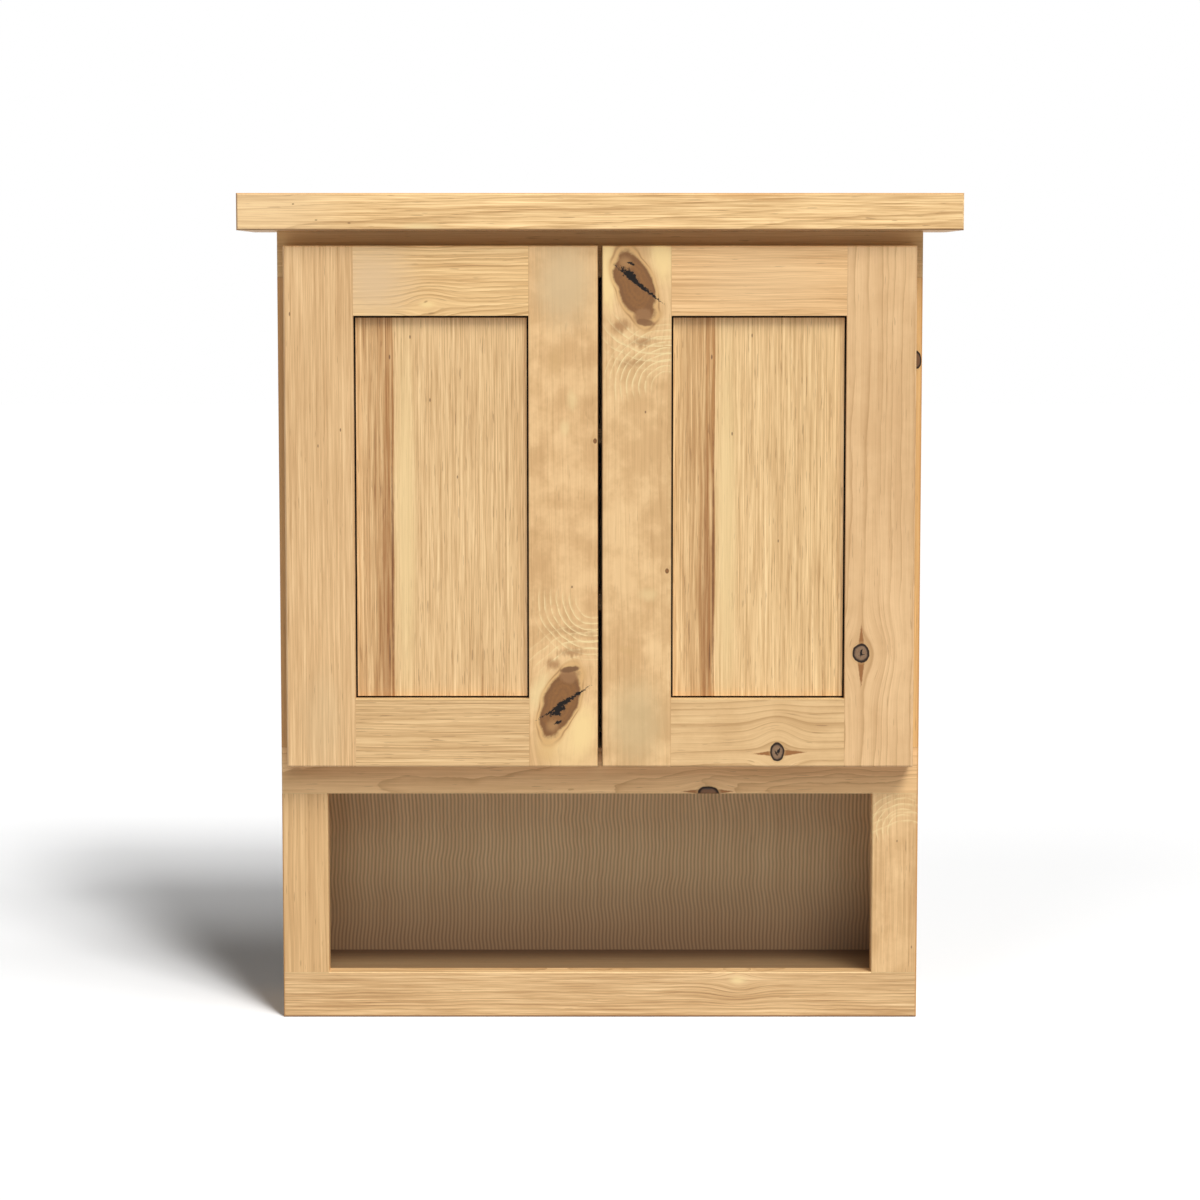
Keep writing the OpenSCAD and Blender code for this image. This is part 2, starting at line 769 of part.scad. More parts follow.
// Outline of the whole left door, with its outer arrises eased and its joints left flush
module left_door_outline() {
    intersection() {
        board_up(door_x0, door_x1, door_front_y, door_back_y, door_z0, door_z1, all_round(door_ease));
        board_across(door_x0, door_x1, door_front_y, door_back_y, door_z0, door_z1, all_round(door_ease));
    }
}

// Part of that outline between two edges
module left_door_board(x0, x1, z0, z1) {
    intersection() {
        left_door_outline();
        block(x0, x1, door_front_y - cut_extra, door_back_y + cut_extra, z0, z1);
    }
}

// Groove along the inner edge of a door's stile or rail
module panel_groove(x0, x1, z0, z1) {
    block(x0, x1, groove_y0, groove_y1 + glue_gap, z0, z1);
}

module left_door_hinge_stile() {
    inner = door_x0 + door_frame_w;
    color(oak)
    difference() {
        left_door_board(door_x0 - cut_extra, inner, door_z0 - cut_extra, door_z1 + cut_extra);
        panel_groove(inner - panel_groove_depth, inner + cut_extra, door_z0 - cut_extra, door_z1 + cut_extra);
        hinge_places() pin_along_y(cup_centre, -cup_depth, cut_extra, 0, cup_r);
        cup_screw_places() countersunk_hole(hinge_screw_dia / 2, screw_head_r, hinge_screw_len);
    }
}

module right_door_hinge_stile() {
    mirror([1, 0, 0]) left_door_hinge_stile();
}

module left_door_meeting_stile() {
    inner = door_x1 - door_frame_w;
    color(oak)
    difference() {
        left_door_board(inner, door_x1 + cut_extra, door_z0 - cut_extra, door_z1 + cut_extra);
        panel_groove(inner - cut_extra, inner + panel_groove_depth, door_z0 - cut_extra, door_z1 + cut_extra);
    }
}

module right_door_meeting_stile() {
    mirror([1, 0, 0]) left_door_meeting_stile();
}

// Rail between the stiles, with a stub tenon in each stile's groove
module left_door_rail(z0, z1, groove_z0, groove_z1) {
    x0 = door_x0 + door_frame_w;
    x1 = door_x1 - door_frame_w;
    tenon_len = panel_groove_depth - tongue_gap;
    color(oak)
    difference() {
        union() {
            left_door_board(x0, x1, z0, z1);
            block(x0 - tenon_len, x1 + tenon_len, groove_y0, groove_y1, z0, z1);
        }
        panel_groove(x0 - panel_groove_depth - cut_extra, x1 + panel_groove_depth + cut_extra,
            groove_z0, groove_z1);
    }
}

module left_door_top_rail() {
    z0 = door_z1 - door_frame_w;
    left_door_rail(z0, door_z1, z0 - cut_extra, z0 + panel_groove_depth);
}

module right_door_top_rail() {
    mirror([1, 0, 0]) left_door_top_rail();
}

module left_door_bottom_rail() {
    z1 = door_z0 + door_frame_w;
    left_door_rail(door_z0, z1, z1 - panel_groove_depth, z1 + cut_extra);
}

module right_door_bottom_rail() {
    mirror([1, 0, 0]) left_door_bottom_rail();
}

// Panel with a raised face inside a shadow gap, and a tongue all round in the frame's grooves
module left_door_panel() {
    x0 = door_x0 + door_frame_w;
    x1 = door_x1 - door_frame_w;
    z0 = door_z0 + door_frame_w;
    z1 = door_z1 - door_frame_w;
    reach = panel_groove_depth - panel_slack;
    color(oak)
    union() {
        block(x0 + shadow_gap, x1 - shadow_gap, door_front_y + panel_inset, groove_y0,
            z0 + shadow_gap, z1 - shadow_gap);
        block(x0 - reach, x1 + reach, groove_y0, groove_y1, z0 - reach, z1 + reach);
    }
}

module right_door_panel() {
    mirror([1, 0, 0]) left_door_panel();
}

// Soft dots that the doors close on
module left_door_bumpers() {
    h = door_gap - touch_gap;
    color(rubber_clear)
    for (z = [(door_z0 + middle_top) / 2, (door_z1 + top_rail_z) / 2])
        translate([door_x1 - bumper_inset, door_back_y, z]) rotate([-90, 0, 0])
            dome(bumper_dia / 2, bumper_side_share * h, h);
}

module right_door_bumpers() {
    mirror([1, 0, 0]) left_door_bumpers();
}

top_slab();
left_side();
right_side();
case_top();
fixed_shelf();
case_bottom();
back_panel();
upper_hanging_rail();
lower_hanging_rail();
top_frame_rail();
middle_frame_rail();
bottom_frame_rail();
left_upper_frame_stile();
right_upper_frame_stile();
left_lower_frame_stile();
right_lower_frame_stile();
upper_shelf();
lower_shelf();
upper_shelf_pins();
lower_shelf_pins();
slab_screws();
left_hinge_arms();
right_hinge_arms();
left_arm_screws();
right_arm_screws();
left_door_hinge_stile();
left_door_meeting_stile();
left_door_top_rail();
left_door_bottom_rail();
left_door_panel();
left_hinge_cups();
left_hinge_pins();
left_cup_screws();
left_door_bumpers();
right_door_hinge_stile();
right_door_meeting_stile();
right_door_top_rail();
right_door_bottom_rail();
right_door_panel();
right_hinge_cups();
right_hinge_pins();
right_cup_screws();
right_door_bumpers();
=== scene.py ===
"""Looks of a two-door oak wall cabinet, laid out as a Blender add-on and run as a script.

Metres in the mesh, millimetres in the materials' own patterns.
X runs to the right, -Y is the front and Z is up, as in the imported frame.
"""

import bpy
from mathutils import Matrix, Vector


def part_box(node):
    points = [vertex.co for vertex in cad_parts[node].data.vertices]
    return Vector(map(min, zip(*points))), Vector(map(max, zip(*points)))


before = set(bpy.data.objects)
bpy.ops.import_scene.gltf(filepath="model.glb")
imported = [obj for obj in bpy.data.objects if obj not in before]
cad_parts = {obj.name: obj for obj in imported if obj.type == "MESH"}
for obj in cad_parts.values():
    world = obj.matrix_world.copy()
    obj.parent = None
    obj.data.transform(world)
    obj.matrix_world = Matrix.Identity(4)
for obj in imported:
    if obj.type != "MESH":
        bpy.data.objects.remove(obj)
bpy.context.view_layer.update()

import math

import bpy
from mathutils import Vector

bl_info = {
    "name": "Oak wall cabinet",
    "version": (1, 0, 0),
    "blender": (4, 5, 0),
    "location": "3D View > Sidebar > Cabinet",
    "description": "Finishes the boards, doors and hinges of a small wall cabinet",
    "category": "Object",
}


def srgb(red, green, blue):
    """Linear colour from the 0 to 255 values that a colour picker shows."""
    return tuple(
        (c / 255 / 12.92 if c / 255 <= 0.04045 else ((c / 255 + 0.055) / 1.055) ** 2.4)
        for c in (red, green, blue)
    )


# Settings


class CabinetStageSettings(bpy.types.PropertyGroup):
    """Camera, floor and sky."""

    lens: bpy.props.FloatProperty(
        name="Lens", description="Focal length of the camera", default=100.0, min=20.0,
        unit="CAMERA",
    )
    camera_distance: bpy.props.FloatProperty(
        name="Camera distance", description="From the middle of the cabinet to the camera",
        default=3.21265, min=1.0, unit="LENGTH",
    )
    camera_height: bpy.props.FloatProperty(
        name="Camera height", description="From the floor to the camera", default=0.71302,
        unit="LENGTH",
    )
    camera_pitch: bpy.props.FloatProperty(
        name="Camera pitch", description="How far the camera looks down",
        default=math.radians(5.5807), subtype="ANGLE",
    )
    floor_white: bpy.props.FloatProperty(
        name="Floor white", description="Brightness of the floor as the camera sees it",
        default=1.0, min=0.0,
    )
    floor_bounce: bpy.props.FloatProperty(
        name="Floor bounce", description="Share of the light that the floor gives back",
        default=0.52, min=0.0, max=1.0, subtype="FACTOR",
    )
    sky: bpy.props.FloatProperty(
        name="Sky", description="Soft light from all round", default=0.055, min=0.0,
    )


class CabinetWoodSettings(bpy.types.PropertyGroup):
    """Colours and roughness that every board shares."""

    pore: bpy.props.FloatVectorProperty(
        name="Pore", description="Colour of the short dark pores", subtype="COLOR", size=3,
        default=srgb(128, 84, 46),
    )
    # The arris colour is painted along every board's edges, darker than the wood
    arris: bpy.props.FloatVectorProperty(
        name="Arris", description="Colour that the oil gives the edges", subtype="COLOR", size=3,
        default=srgb(158, 102, 46),
    )
    knot_core: bpy.props.FloatVectorProperty(
        name="Knot", description="Colour of a knot", subtype="COLOR", size=3,
        default=srgb(152, 103, 53),
    )
    knot_rim: bpy.props.FloatVectorProperty(
        name="Knot rim", description="Colour of a knot's bark ring", subtype="COLOR", size=3,
        default=srgb(113, 74, 42),
    )
    knot_crack: bpy.props.FloatVectorProperty(
        name="Knot crack", description="Colour of the cracks in a knot", subtype="COLOR", size=3,
        default=srgb(18, 10, 7),
    )
    roughness: bpy.props.FloatProperty(
        name="Roughness", description="How matt the oiled wood is", default=0.52, min=0.0, max=1.0,
        subtype="FACTOR",
    )


class CabinetHardwareSettings(bpy.types.PropertyGroup):
    """Hinges, screws, shelf pins and bumpers."""

    nickel: bpy.props.FloatVectorProperty(
        name="Nickel", description="Colour of the plated hinges", subtype="COLOR", size=3,
        default=srgb(214, 209, 200),
    )
    zinc: bpy.props.FloatVectorProperty(
        name="Zinc", description="Colour of the screws and pins", subtype="COLOR", size=3,
        default=srgb(205, 207, 208),
    )
    rubber: bpy.props.FloatVectorProperty(
        name="Rubber", description="Colour of the soft bumpers", subtype="COLOR", size=3,
        default=srgb(222, 222, 214),
    )


# Helpers for shader nodes


def node(tree, kind, inputs=None, **settings):
    made = tree.nodes.new("ShaderNode" + kind)
    for name, value in settings.items():
        setattr(made, name, value)
    for key, value in (inputs or {}).items():
        if isinstance(value, bpy.types.NodeSocket):
            tree.links.new(value, made.inputs[key])
        else:
            made.inputs[key].default_value = value
    return made


def tree_of(*values):
    """The shader tree of the first socket among some values."""
    return next(value.id_data for value in values if isinstance(value, bpy.types.NodeSocket))


def calc(operation, *values):
    return node(tree_of(*values), "Math", dict(enumerate(values)), operation=operation).outputs[0]


def plus(first, second):
    return calc("ADD", first, second)


def minus(first, second):
    return calc("SUBTRACT", first, second)


def times(first, second):
    return calc("MULTIPLY", first, second)


def centred(value, reach):
    """Moves a value from 0 to 1 to lie from minus half the reach to plus half of it."""
    return times(minus(value, 0.5), reach)


def vector_calc(operation, *values):
    made = node(tree_of(*values), "VectorMath", dict(enumerate(values)), operation=operation)
    return made.outputs["Value" if operation == "LENGTH" else "Vector"]


def stretched(vector, scales):
    return vector_calc("MULTIPLY", vector, scales)


def fade(value, start, end, low=0.0, high=1.0):
    """Smooth step from low at start to high at end."""
    inputs = {"Value": value, "From Min": start, "From Max": end, "To Min": low, "To Max": high}
    return node(value.id_data, "MapRange", inputs, interpolation_type="SMOOTHSTEP").outputs[0]


def band(value, start, full, still_full, end):
    """Rises from 0 at start to 1 at full, and falls from still_full to 0 at end."""
    return times(fade(value, start, full), fade(value, end, still_full))


def rgba(value):
    return value if isinstance(value, bpy.types.NodeSocket) else (*value, 1.0)


def mix(factor, first, second, mode="MIX"):
    inputs = {0: factor, 6: rgba(first), 7: rgba(second)}
    tree = tree_of(factor, first, second)
    return node(tree, "Mix", inputs, data_type="RGBA", blend_type=mode).outputs[2]


def noise(vector, scale=1.0, detail=2.0, roughness=0.5):
    inputs = {"Vector": vector, "Scale": scale, "Detail": detail, "Roughness": roughness}
    return node(vector.id_data, "TexNoise", inputs).outputs["Fac"]


def centred_noise(vector, scale, reach):
    return centred(noise(vector, scale), reach)


def combine(x, y, z):
    return node(tree_of(x, y, z), "CombineXYZ", {0: x, 1: y, 2: z}).outputs[0]


def separate(vector):
    return node(vector.id_data, "SeparateXYZ", {0: vector}).outputs


def new_material(name):
    """A material, with its tree, its shader and the mesh's own coordinates."""
    material = bpy.data.materials.new(name)
    material.use_nodes = True
    tree = material.node_tree
    return material, tree, tree.nodes["Principled BSDF"], node(tree, "TexCoord").outputs["Object"]


FLOAT, VECTOR, COLOR = "NodeSocketFloat", "NodeSocketVector", "NodeSocketColor"
ORIGIN = (0, 0, 0)


def new_group(name, inputs, outputs):
    """An empty shader group, its inputs' sockets, and a function that fills one of its outputs.

    The inputs' defaults are numbers, vectors of three or colours of four values.
    """
    tree = bpy.data.node_groups.new(name, "ShaderNodeTree")
    for label, default in inputs.items():
        kind = FLOAT if isinstance(default, float) else VECTOR if len(default) == 3 else COLOR
        tree.interface.new_socket(label, in_out="INPUT", socket_type=kind).default_value = default
    for label in outputs:
        kind = {"Vector": VECTOR, "Color": COLOR}.get(label, FLOAT)
        tree.interface.new_socket(label, in_out="OUTPUT", socket_type=kind)
    given = tree.nodes.new("NodeGroupInput").outputs
    result = tree.nodes.new("NodeGroupOutput").inputs

    def give(label, value):
        tree.links.new(value, result[label])

    return tree, given, give


def use_group(group, inputs):
    tree = tree_of(*inputs.values())
    made = tree.nodes.new("ShaderNodeGroup")
    made.node_tree = group
    for key, value in inputs.items():
        if isinstance(value, bpy.types.NodeSocket):
            tree.links.new(value, made.inputs[key])
        else:
            is_colour = made.inputs[key].type == "RGBA"
            made.inputs[key].default_value = rgba(value) if is_colour else value
    return made.outputs


# Shared effects. Their vectors are in millimetres: along the grain, depth, across

FIELDS = ("Lines", "Fibre", "Streaks", "Pores", "Tone", "Mottle")
# Noise scales of the board, in cycles for each millimetre along the grain, in depth and across
WIDE_SWAY, FINE_SWAY, RIB_SWAY = (0.009, 0.02, 0.022), (0.06, 0.08, 0.1), (0.016, 0.0, 0.004)
FIBRES, STREAKS, DASHES = (0.014, 0.8, 0.8), (0.008, 0.32, 0.32), (0.045, 0.8, 0.8)
TONES, MOTTLES, TORN_EDGE = (0.005, 0.03, 0.035), (0.03, 0.03, 0.03), (0.09, 0.3, 0.3)
# How far one step of the seed shifts the grain
SEED_SHIFT = (137.0, 53.0, 71.0)
# The fine sway's share of the wide one
FINE_SHARE = 0.16
# How a ring's width and strength run on from ring to ring, and its strength along the grain
YEAR_STEP, STRENGTH_STEP, STRENGTH_ALONG, YEAR_SPREAD = 0.31, 0.4, 0.006, 5.0
# Powers and shares of a ring's sharp end and its soft rise, and where it stops
SHARP_POWER, SHARP_SHARE, SOFT_POWER, SOFT_SHARE = 7.0, 0.65, 1.6, 0.35
RING_STOP = (1.0, 0.96)
# Noise values from which to which a field rises
STRONG_RISE, TONE_RISE, MOTTLE_RISE = (0.2, 0.52), (0.3, 0.7), (0.34, 0.66)
# The noise at which sparse pores start, how it falls with their density, and their softness
PORE_START, PORE_FALL, PORE_SOFTNESS = 0.76, -0.14, 0.07
MOTTLE_TURN = math.radians(35)
# Shaded wood keeps more red and less blue
RED_POWER, BLUE_POWER = 0.75, 1.3
# How far pores, dark lines and fibres lie below the surface, as shares of the grain's depth
PORE_DENT, LINE_DENT, FIBRE_DENT = -0.6, -0.3, -0.5
# Edges of a knot's parts, in its radii
CORE_EDGE, HALO_EDGE = (1.04, 0.94), (1.4, 1.1)
RIM_BAND, RING_BAND = (0.62, 0.88, 1.0, 1.1), (1.13, 1.19, 1.2, 1.26)
# A knot's rings in radians for each radius, their contrast, and that of its torn wood
KNOT_RINGS, RINGS_CONTRAST, WOOD_CONTRAST = 24.0, 0.1, 0.8
# Noise scales of a knot's outline, from its wide sway to its fine tearing
KNOT_SWAY, KNOT_LUMPS, KNOT_TEARING = 0.045, 0.16, 0.45
# How far these reach, in its radii
SWAY_REACH, LUMPS_REACH, TEARING_REACH = 0.55, 0.16, 0.1
# Where noise breaks a knot's ring, a curl or a streak: two noise values and the strengths there
RING_BREAKS, ARC_BREAKS = (0.4, 0.62, 0.15, 1.0), (0.3, 0.55, 0.25, 1.0)
STREAK_BREAKS = (0.3, 0.62, 0.35, 1.2)
# Noise scales of a crack's course and of its torn sides, the course's reach, and its soft edge
CRACK_COURSE, CRACK_SIDES, COURSE_REACH, CRACK_EDGE = 0.35, 1.1, 1.4, (1.05, 0.75)
CRACK_TAPER = 1.3
# A curl's rise, end and strength, and the cosines between which it fades in
ARC_POWER, ARC_STOP, ARC_STRENGTH, ARC_FACING = 5.0, (1.0, 0.93), 1.3, (0.2, 0.7)
# Noise scales of the curls' warp and gaps, their soft start in millimetres, and where they fade out
ARC_WARP, ARC_GAPS, ARC_SOFTNESS, ARC_KEPT = 0.035, 0.16, 8.0, 0.7
# Noise scales of a heartwood streak's slow and quick sway, the quick one's share, and its rise
SLOW_SWAY, QUICK_SWAY, QUICK_SHARE, STREAK_POWER = 0.01, 0.11, 0.2, 1.2
# Its sharp side's softness in millimetres
STREAK_SOFTNESS = 0.9
# The oil's wider trace at an arris, in widths of its edge, and the noise scale of its wear
NEAR_EDGE, EDGE_WEAR = 6.0, 0.21


def make_grain_group():
    """Fields of sawn wood. The growth rings lie round a pith that may slope through the board."""
    tree, given, give = new_group(
        "wood_grain",
        {"Vector": ORIGIN, "Pith across": 150.0, "Pith depth": 0.0, "Slope": 0.0, "Wobble": 6.0,
         "Line spacing": 3.0, "Pore density": 0.5, "Seed": 0.0},
        FIELDS)
    seed = given["Seed"]
    shift = combine(*(times(seed, step) for step in SEED_SHIFT))
    place = vector_calc("ADD", given["Vector"], shift)
    along, depth, across = separate(given["Vector"])
    wide = centred_noise(stretched(place, WIDE_SWAY), 1.0, 1.0)
    fine = centred_noise(stretched(place, FINE_SWAY), 1.0, FINE_SHARE)
    sway = times(plus(wide, fine), given["Wobble"])
    below = calc("MULTIPLY_ADD", along, given["Slope"], minus(depth, given["Pith depth"]))
    beside = minus(across, given["Pith across"])
    from_pith = vector_calc("LENGTH", combine(0.0, below, beside))
    ring = calc("DIVIDE", plus(from_pith, sway), given["Line spacing"])
    years = noise(combine(times(ring, YEAR_STEP), seed, 0.0), 1.0, 2.0, 0.6)
    ring = calc("MULTIPLY_ADD", years, YEAR_SPREAD, ring)
    part = calc("FRACT", ring)
    soft = times(calc("POWER", part, SOFT_POWER), SOFT_SHARE)
    late = calc("MULTIPLY_ADD", calc("POWER", part, SHARP_POWER), SHARP_SHARE, soft)
    late = times(late, fade(part, *RING_STOP))
    strong = combine(times(along, STRENGTH_ALONG), times(ring, STRENGTH_STEP), seed)
    strong = fade(noise(strong, 1.0, 2.0, 0.6), *STRONG_RISE)
    give("Lines", times(late, strong))
    give("Fibre", noise(stretched(place, FIBRES), 1.0, 3.0, 0.75))
    give("Streaks", noise(stretched(place, STREAKS), 1.0, 3.0, 0.65))
    dashes = noise(stretched(place, DASHES), 1.0, 1.0, 0.5)
    start = calc("MULTIPLY_ADD", given["Pore density"], PORE_FALL, PORE_START)
    give("Pores", fade(dashes, start, plus(start, PORE_SOFTNESS)))
    tone = noise(stretched(place, TONES), 1.0, 2.0, 0.5)
    give("Tone", fade(tone, *TONE_RISE))
    inputs = {"Vector": place, "Rotation": (0, MOTTLE_TURN, 0), "Scale": MOTTLES}
    slanted = node(tree, "Mapping", inputs).outputs[0]
    give("Mottle", fade(noise(slanted, 1.0, 4.0, 0.6), *MOTTLE_RISE))
    return tree


def make_colour_group():
    """Colour and height of a board from its fields."""
    tree, given, give = new_group(
        "wood_colour",
        {"Light": (0.8, 0.6, 0.4, 1.0), "Dark": (0.6, 0.4, 0.2, 1.0), "Warm": (0.8, 0.5, 0.3, 1.0),
         "Pore": (0.2, 0.1, 0.05, 1.0), "Lines": 0.0, "Fibre": 0.5, "Streaks": 0.5, "Pores": 0.0,
         "Tone": 0.0, "Mottle": 0.5, "Line strength": 0.6, "Fibre strength": 0.3,
         "Streak strength": 0.3, "Pore strength": 0.5, "Tone strength": 0.5,
         "Mottle strength": 0.0},
        ("Color", "Height"))
    line_share = times(given["Lines"], given["Line strength"])
    tone = times(given["Tone"], given["Tone strength"])
    base = mix(line_share, mix(tone, given["Light"], given["Warm"]), given["Dark"])
    fibre = centred(given["Fibre"], given["Fibre strength"])
    streaks = centred(given["Streaks"], given["Streak strength"])
    mottle = centred(given["Mottle"], given["Mottle strength"])
    shade = minus(1.0, plus(plus(fibre, streaks), mottle))
    red, blue = calc("POWER", shade, RED_POWER), calc("POWER", shade, BLUE_POWER)
    base = mix(1.0, base, combine(red, shade, blue), "MULTIPLY")
    pores = times(given["Pores"], given["Pore strength"])
    give("Color", mix(pores, base, given["Pore"]))
    height = calc("MULTIPLY_ADD", given["Pores"], PORE_DENT, times(line_share, LINE_DENT))
    give("Height", calc("MULTIPLY_ADD", fibre, FIBRE_DENT, height))
    return tree


ELLIPSE = {"Vector": ORIGIN, "Along": 0.0, "Across": 0.0, "Half along": 10.0, "Half across": 6.0,
           "Turn": 0.0, "Seed": 0.0}


def turned(tree, given):
    """Place in a turned ellipse, its distance in radii, its share along and its distance across."""
    along, _, across = separate(given["Vector"])
    da = minus(along, given["Along"])
    dc = minus(across, given["Across"])
    cosine, sine = calc("COSINE", given["Turn"]), calc("SINE", given["Turn"])
    u = plus(times(da, cosine), times(dc, sine))
    v = minus(times(dc, cosine), times(da, sine))
    u_share = calc("DIVIDE", u, given["Half along"])
    v_share = calc("DIVIDE", v, given["Half across"])
    radius = vector_calc("LENGTH", combine(u_share, v_share, 0.0))
    return combine(da, given["Seed"], dc), radius, u_share, v


def make_patch_group():
    """Mask of a soft or ragged patch."""
    tree, given, give = new_group(
        "wood_patch", {**ELLIPSE, "Softness": 0.6, "Ragged": 0.5}, ("Mask",))
    place, radius, _, _ = turned(tree, given)
    rough = noise(stretched(place, TORN_EDGE), 1.0, 3.0, 0.6)
    radius = plus(radius, centred(rough, given["Ragged"]))
    give("Mask", fade(radius, 1.0, minus(1.0, given["Softness"])))
    return tree


def make_knot_group():
    """One knot. The grain's lines bend round it, and it gives masks for its parts."""
    tree, given, give = new_group(
        "wood_knot", {**ELLIPSE, "Push": 0.9, "Reach": 1.8},
        ("Vector", "Core", "Rim", "Ring", "Halo", "Rings"))
    place, radius, _, _ = turned(tree, given)
    along, depth, across = separate(given["Vector"])
    wide = noise(place, KNOT_SWAY, 1.0, 0.5)
    rough = noise(place, KNOT_TEARING, 3.0, 0.6)
    ragged = calc("MULTIPLY_ADD", minus(wide, 0.5), SWAY_REACH, radius)
    lumps = centred_noise(place, KNOT_LUMPS, LUMPS_REACH)
    core = calc("MULTIPLY_ADD", minus(rough, 0.5), TEARING_REACH, plus(ragged, lumps))
    share = calc("DIVIDE", radius, given["Reach"])
    near = calc("EXPONENT", times(times(share, share), -1.0))
    kept = minus(1.0, times(near, given["Push"]))
    bent = calc("MULTIPLY_ADD", minus(across, given["Across"]), kept, given["Across"])
    give("Vector", combine(along, depth, bent))
    give("Core", fade(core, *CORE_EDGE))
    give("Rim", band(core, *RIM_BAND))
    give("Ring", times(band(ragged, *RING_BAND), fade(wide, *RING_BREAKS)))
    give("Halo", fade(ragged, *HALO_EDGE))
    wave = calc("SINE", times(plus(radius, wide), KNOT_RINGS))
    give("Rings", calc("MULTIPLY_ADD", wave, RINGS_CONTRAST, times(rough, WOOD_CONTRAST)))
    return tree


def make_crack_group():
    """Mask of a crack or spike, widest in the middle."""
    tree, given, give = new_group("wood_crack", {**ELLIPSE, "Torn": 1.7}, ("Mask",))
    place, _, u_share, v = turned(tree, given)
    half, torn = given["Half across"], given["Torn"]
    jag = times(centred_noise(place, CRACK_COURSE, COURSE_REACH), times(half, torn))
    line = calc("DIVIDE", calc("ABSOLUTE", plus(v, jag)), half)
    line = plus(line, calc("POWER", calc("ABSOLUTE", u_share), CRACK_TAPER))
    line = plus(line, centred(noise(place, CRACK_SIDES, 3.0, 0.7), torn))
    give("Mask", fade(line, *CRACK_EDGE))
    return tree


def make_arcs_group():
    """Mask of curly arcs in one quarter round a centre. Each rises softly and ends sharply."""
    tree, given, give = new_group(
        "wood_arcs",
        {"Vector": ORIGIN, "Along": 0.0, "Across": 0.0, "Start": 10.0, "Reach": 45.0,
         "Spacing": 7.0, "Facing along": -0.7, "Facing across": -0.7, "Seed": 0.0},
        ("Mask",))
    along, _, across = separate(given["Vector"])
    da = minus(along, given["Along"])
    dc = minus(across, given["Across"])
    place = combine(da, given["Seed"], dc)
    radius = vector_calc("LENGTH", combine(da, 0.0, dc))
    facing = plus(times(da, given["Facing along"]), times(dc, given["Facing across"]))
    facing = calc("DIVIDE", facing, plus(radius, 0.01))
    warp = centred_noise(place, ARC_WARP, 1.0)
    part = calc("FRACT", plus(calc("DIVIDE", radius, given["Spacing"]), warp))
    wave = times(calc("POWER", part, ARC_POWER), fade(part, *ARC_STOP, 0.0, ARC_STRENGTH))
    broken = fade(noise(place, ARC_GAPS), *ARC_BREAKS)
    mask = times(times(wave, broken), fade(facing, *ARC_FACING))
    mask = times(mask, fade(radius, given["Start"], plus(given["Start"], ARC_SOFTNESS)))
    give("Mask", times(mask, fade(radius, given["Reach"], times(given["Reach"], ARC_KEPT))))
    return tree


def make_streak_group():
    """Mask of a heartwood streak along the grain, soft on one side and sharp on the other."""
    tree, given, give = new_group(
        "wood_streak",
        {"Vector": ORIGIN, "Soft edge": -10.0, "Sharp edge": 10.0, "Sway": 3.0, "Seed": 0.0},
        ("Mask",))
    along, _, across = separate(given["Vector"])
    slow = centred_noise(combine(times(along, SLOW_SWAY), given["Seed"], 0.0), 1.0, 1.0)
    quick = combine(times(along, QUICK_SWAY), given["Seed"], 4.0)
    quick = centred_noise(quick, 1.0, QUICK_SHARE)
    across = calc("MULTIPLY_ADD", plus(slow, quick), given["Sway"], across)
    inputs = {"Value": across, "From Min": given["Soft edge"], "From Max": given["Sharp edge"]}
    rise = calc("POWER", node(tree, "MapRange", inputs).outputs[0], STREAK_POWER)
    past = minus(across, given["Sharp edge"])
    give("Mask", times(rise, fade(past, STREAK_SOFTNESS, 0.0)))
    return tree


def make_arris_group():
    """Masks near the edges of a box."""
    tree, given, give = new_group(
        "board_arris",
        {"Vector": ORIGIN, "Middle": ORIGIN, "Half size": (1, 1, 1), "Width": 1.2},
        ("Edge", "Near edge"))
    from_middle = vector_calc("SUBTRACT", given["Vector"], given["Middle"])
    from_middle = vector_calc("ABSOLUTE", from_middle)
    x, y, z = separate(vector_calc("SUBTRACT", given["Half size"], from_middle))
    low, high = calc("MINIMUM", x, y), calc("MAXIMUM", x, y)
    second = calc("MAXIMUM", low, calc("MINIMUM", high, z))
    worn = minus(noise(given["Vector"], EDGE_WEAR, 3.0, 0.6), 0.5)
    second = calc("MULTIPLY_ADD", worn, given["Width"], second)
    give("Edge", fade(second, given["Width"], 0.0))
    give("Near edge", fade(second, times(given["Width"], NEAR_EDGE), 0.0))
    return tree


groups = {}


def shared_groups():
    """Builds the shared groups once."""
    if not groups:
        groups.update(
            grain=make_grain_group(), colour=make_colour_group(), patch=make_patch_group(),
            knot=make_knot_group(), crack=make_crack_group(), arcs=make_arcs_group(),
            streak=make_streak_group(), arris=make_arris_group())
    return groups


# Wood

# Millimetres in a metre, for places in the materials
MM = 1000.0
# Which of X, Y and Z runs along the grain, through the board and across it
GRAIN = {"up": (2, 1, 0), "across": (0, 1, 2), "level": (0, 2, 1), "side": (2, 0, 1)}

# Colours of patches, lines and knots in the oak, and of painted shade in the gaps
PALE, TAN, BROWN = srgb(250, 222, 166), srgb(216, 174, 118), srgb(170, 122, 76)
SPECK, GREYISH, PINKISH = srgb(112, 76, 46), srgb(222, 192, 148), srgb(246, 212, 166)
GOLD, YELLOW, BARK = srgb(222, 176, 116), srgb(255, 221, 159), srgb(44, 30, 22)
SPIKE, EDGE, ASH = srgb(156, 104, 56), srgb(206, 144, 74), srgb(150, 122, 96)
# The second and third colours on the next line are painted shade: a dark line along the doors'
# meeting edges, and near-black in the gaps round the panels
CURL, MEETING_EDGE_SHADE, UNLIT = srgb(255, 232, 178), srgb(58, 38, 22), (0.003, 0.002, 0.0015)
NECK, SHOULDER = srgb(156, 112, 72), srgb(190, 144, 94)

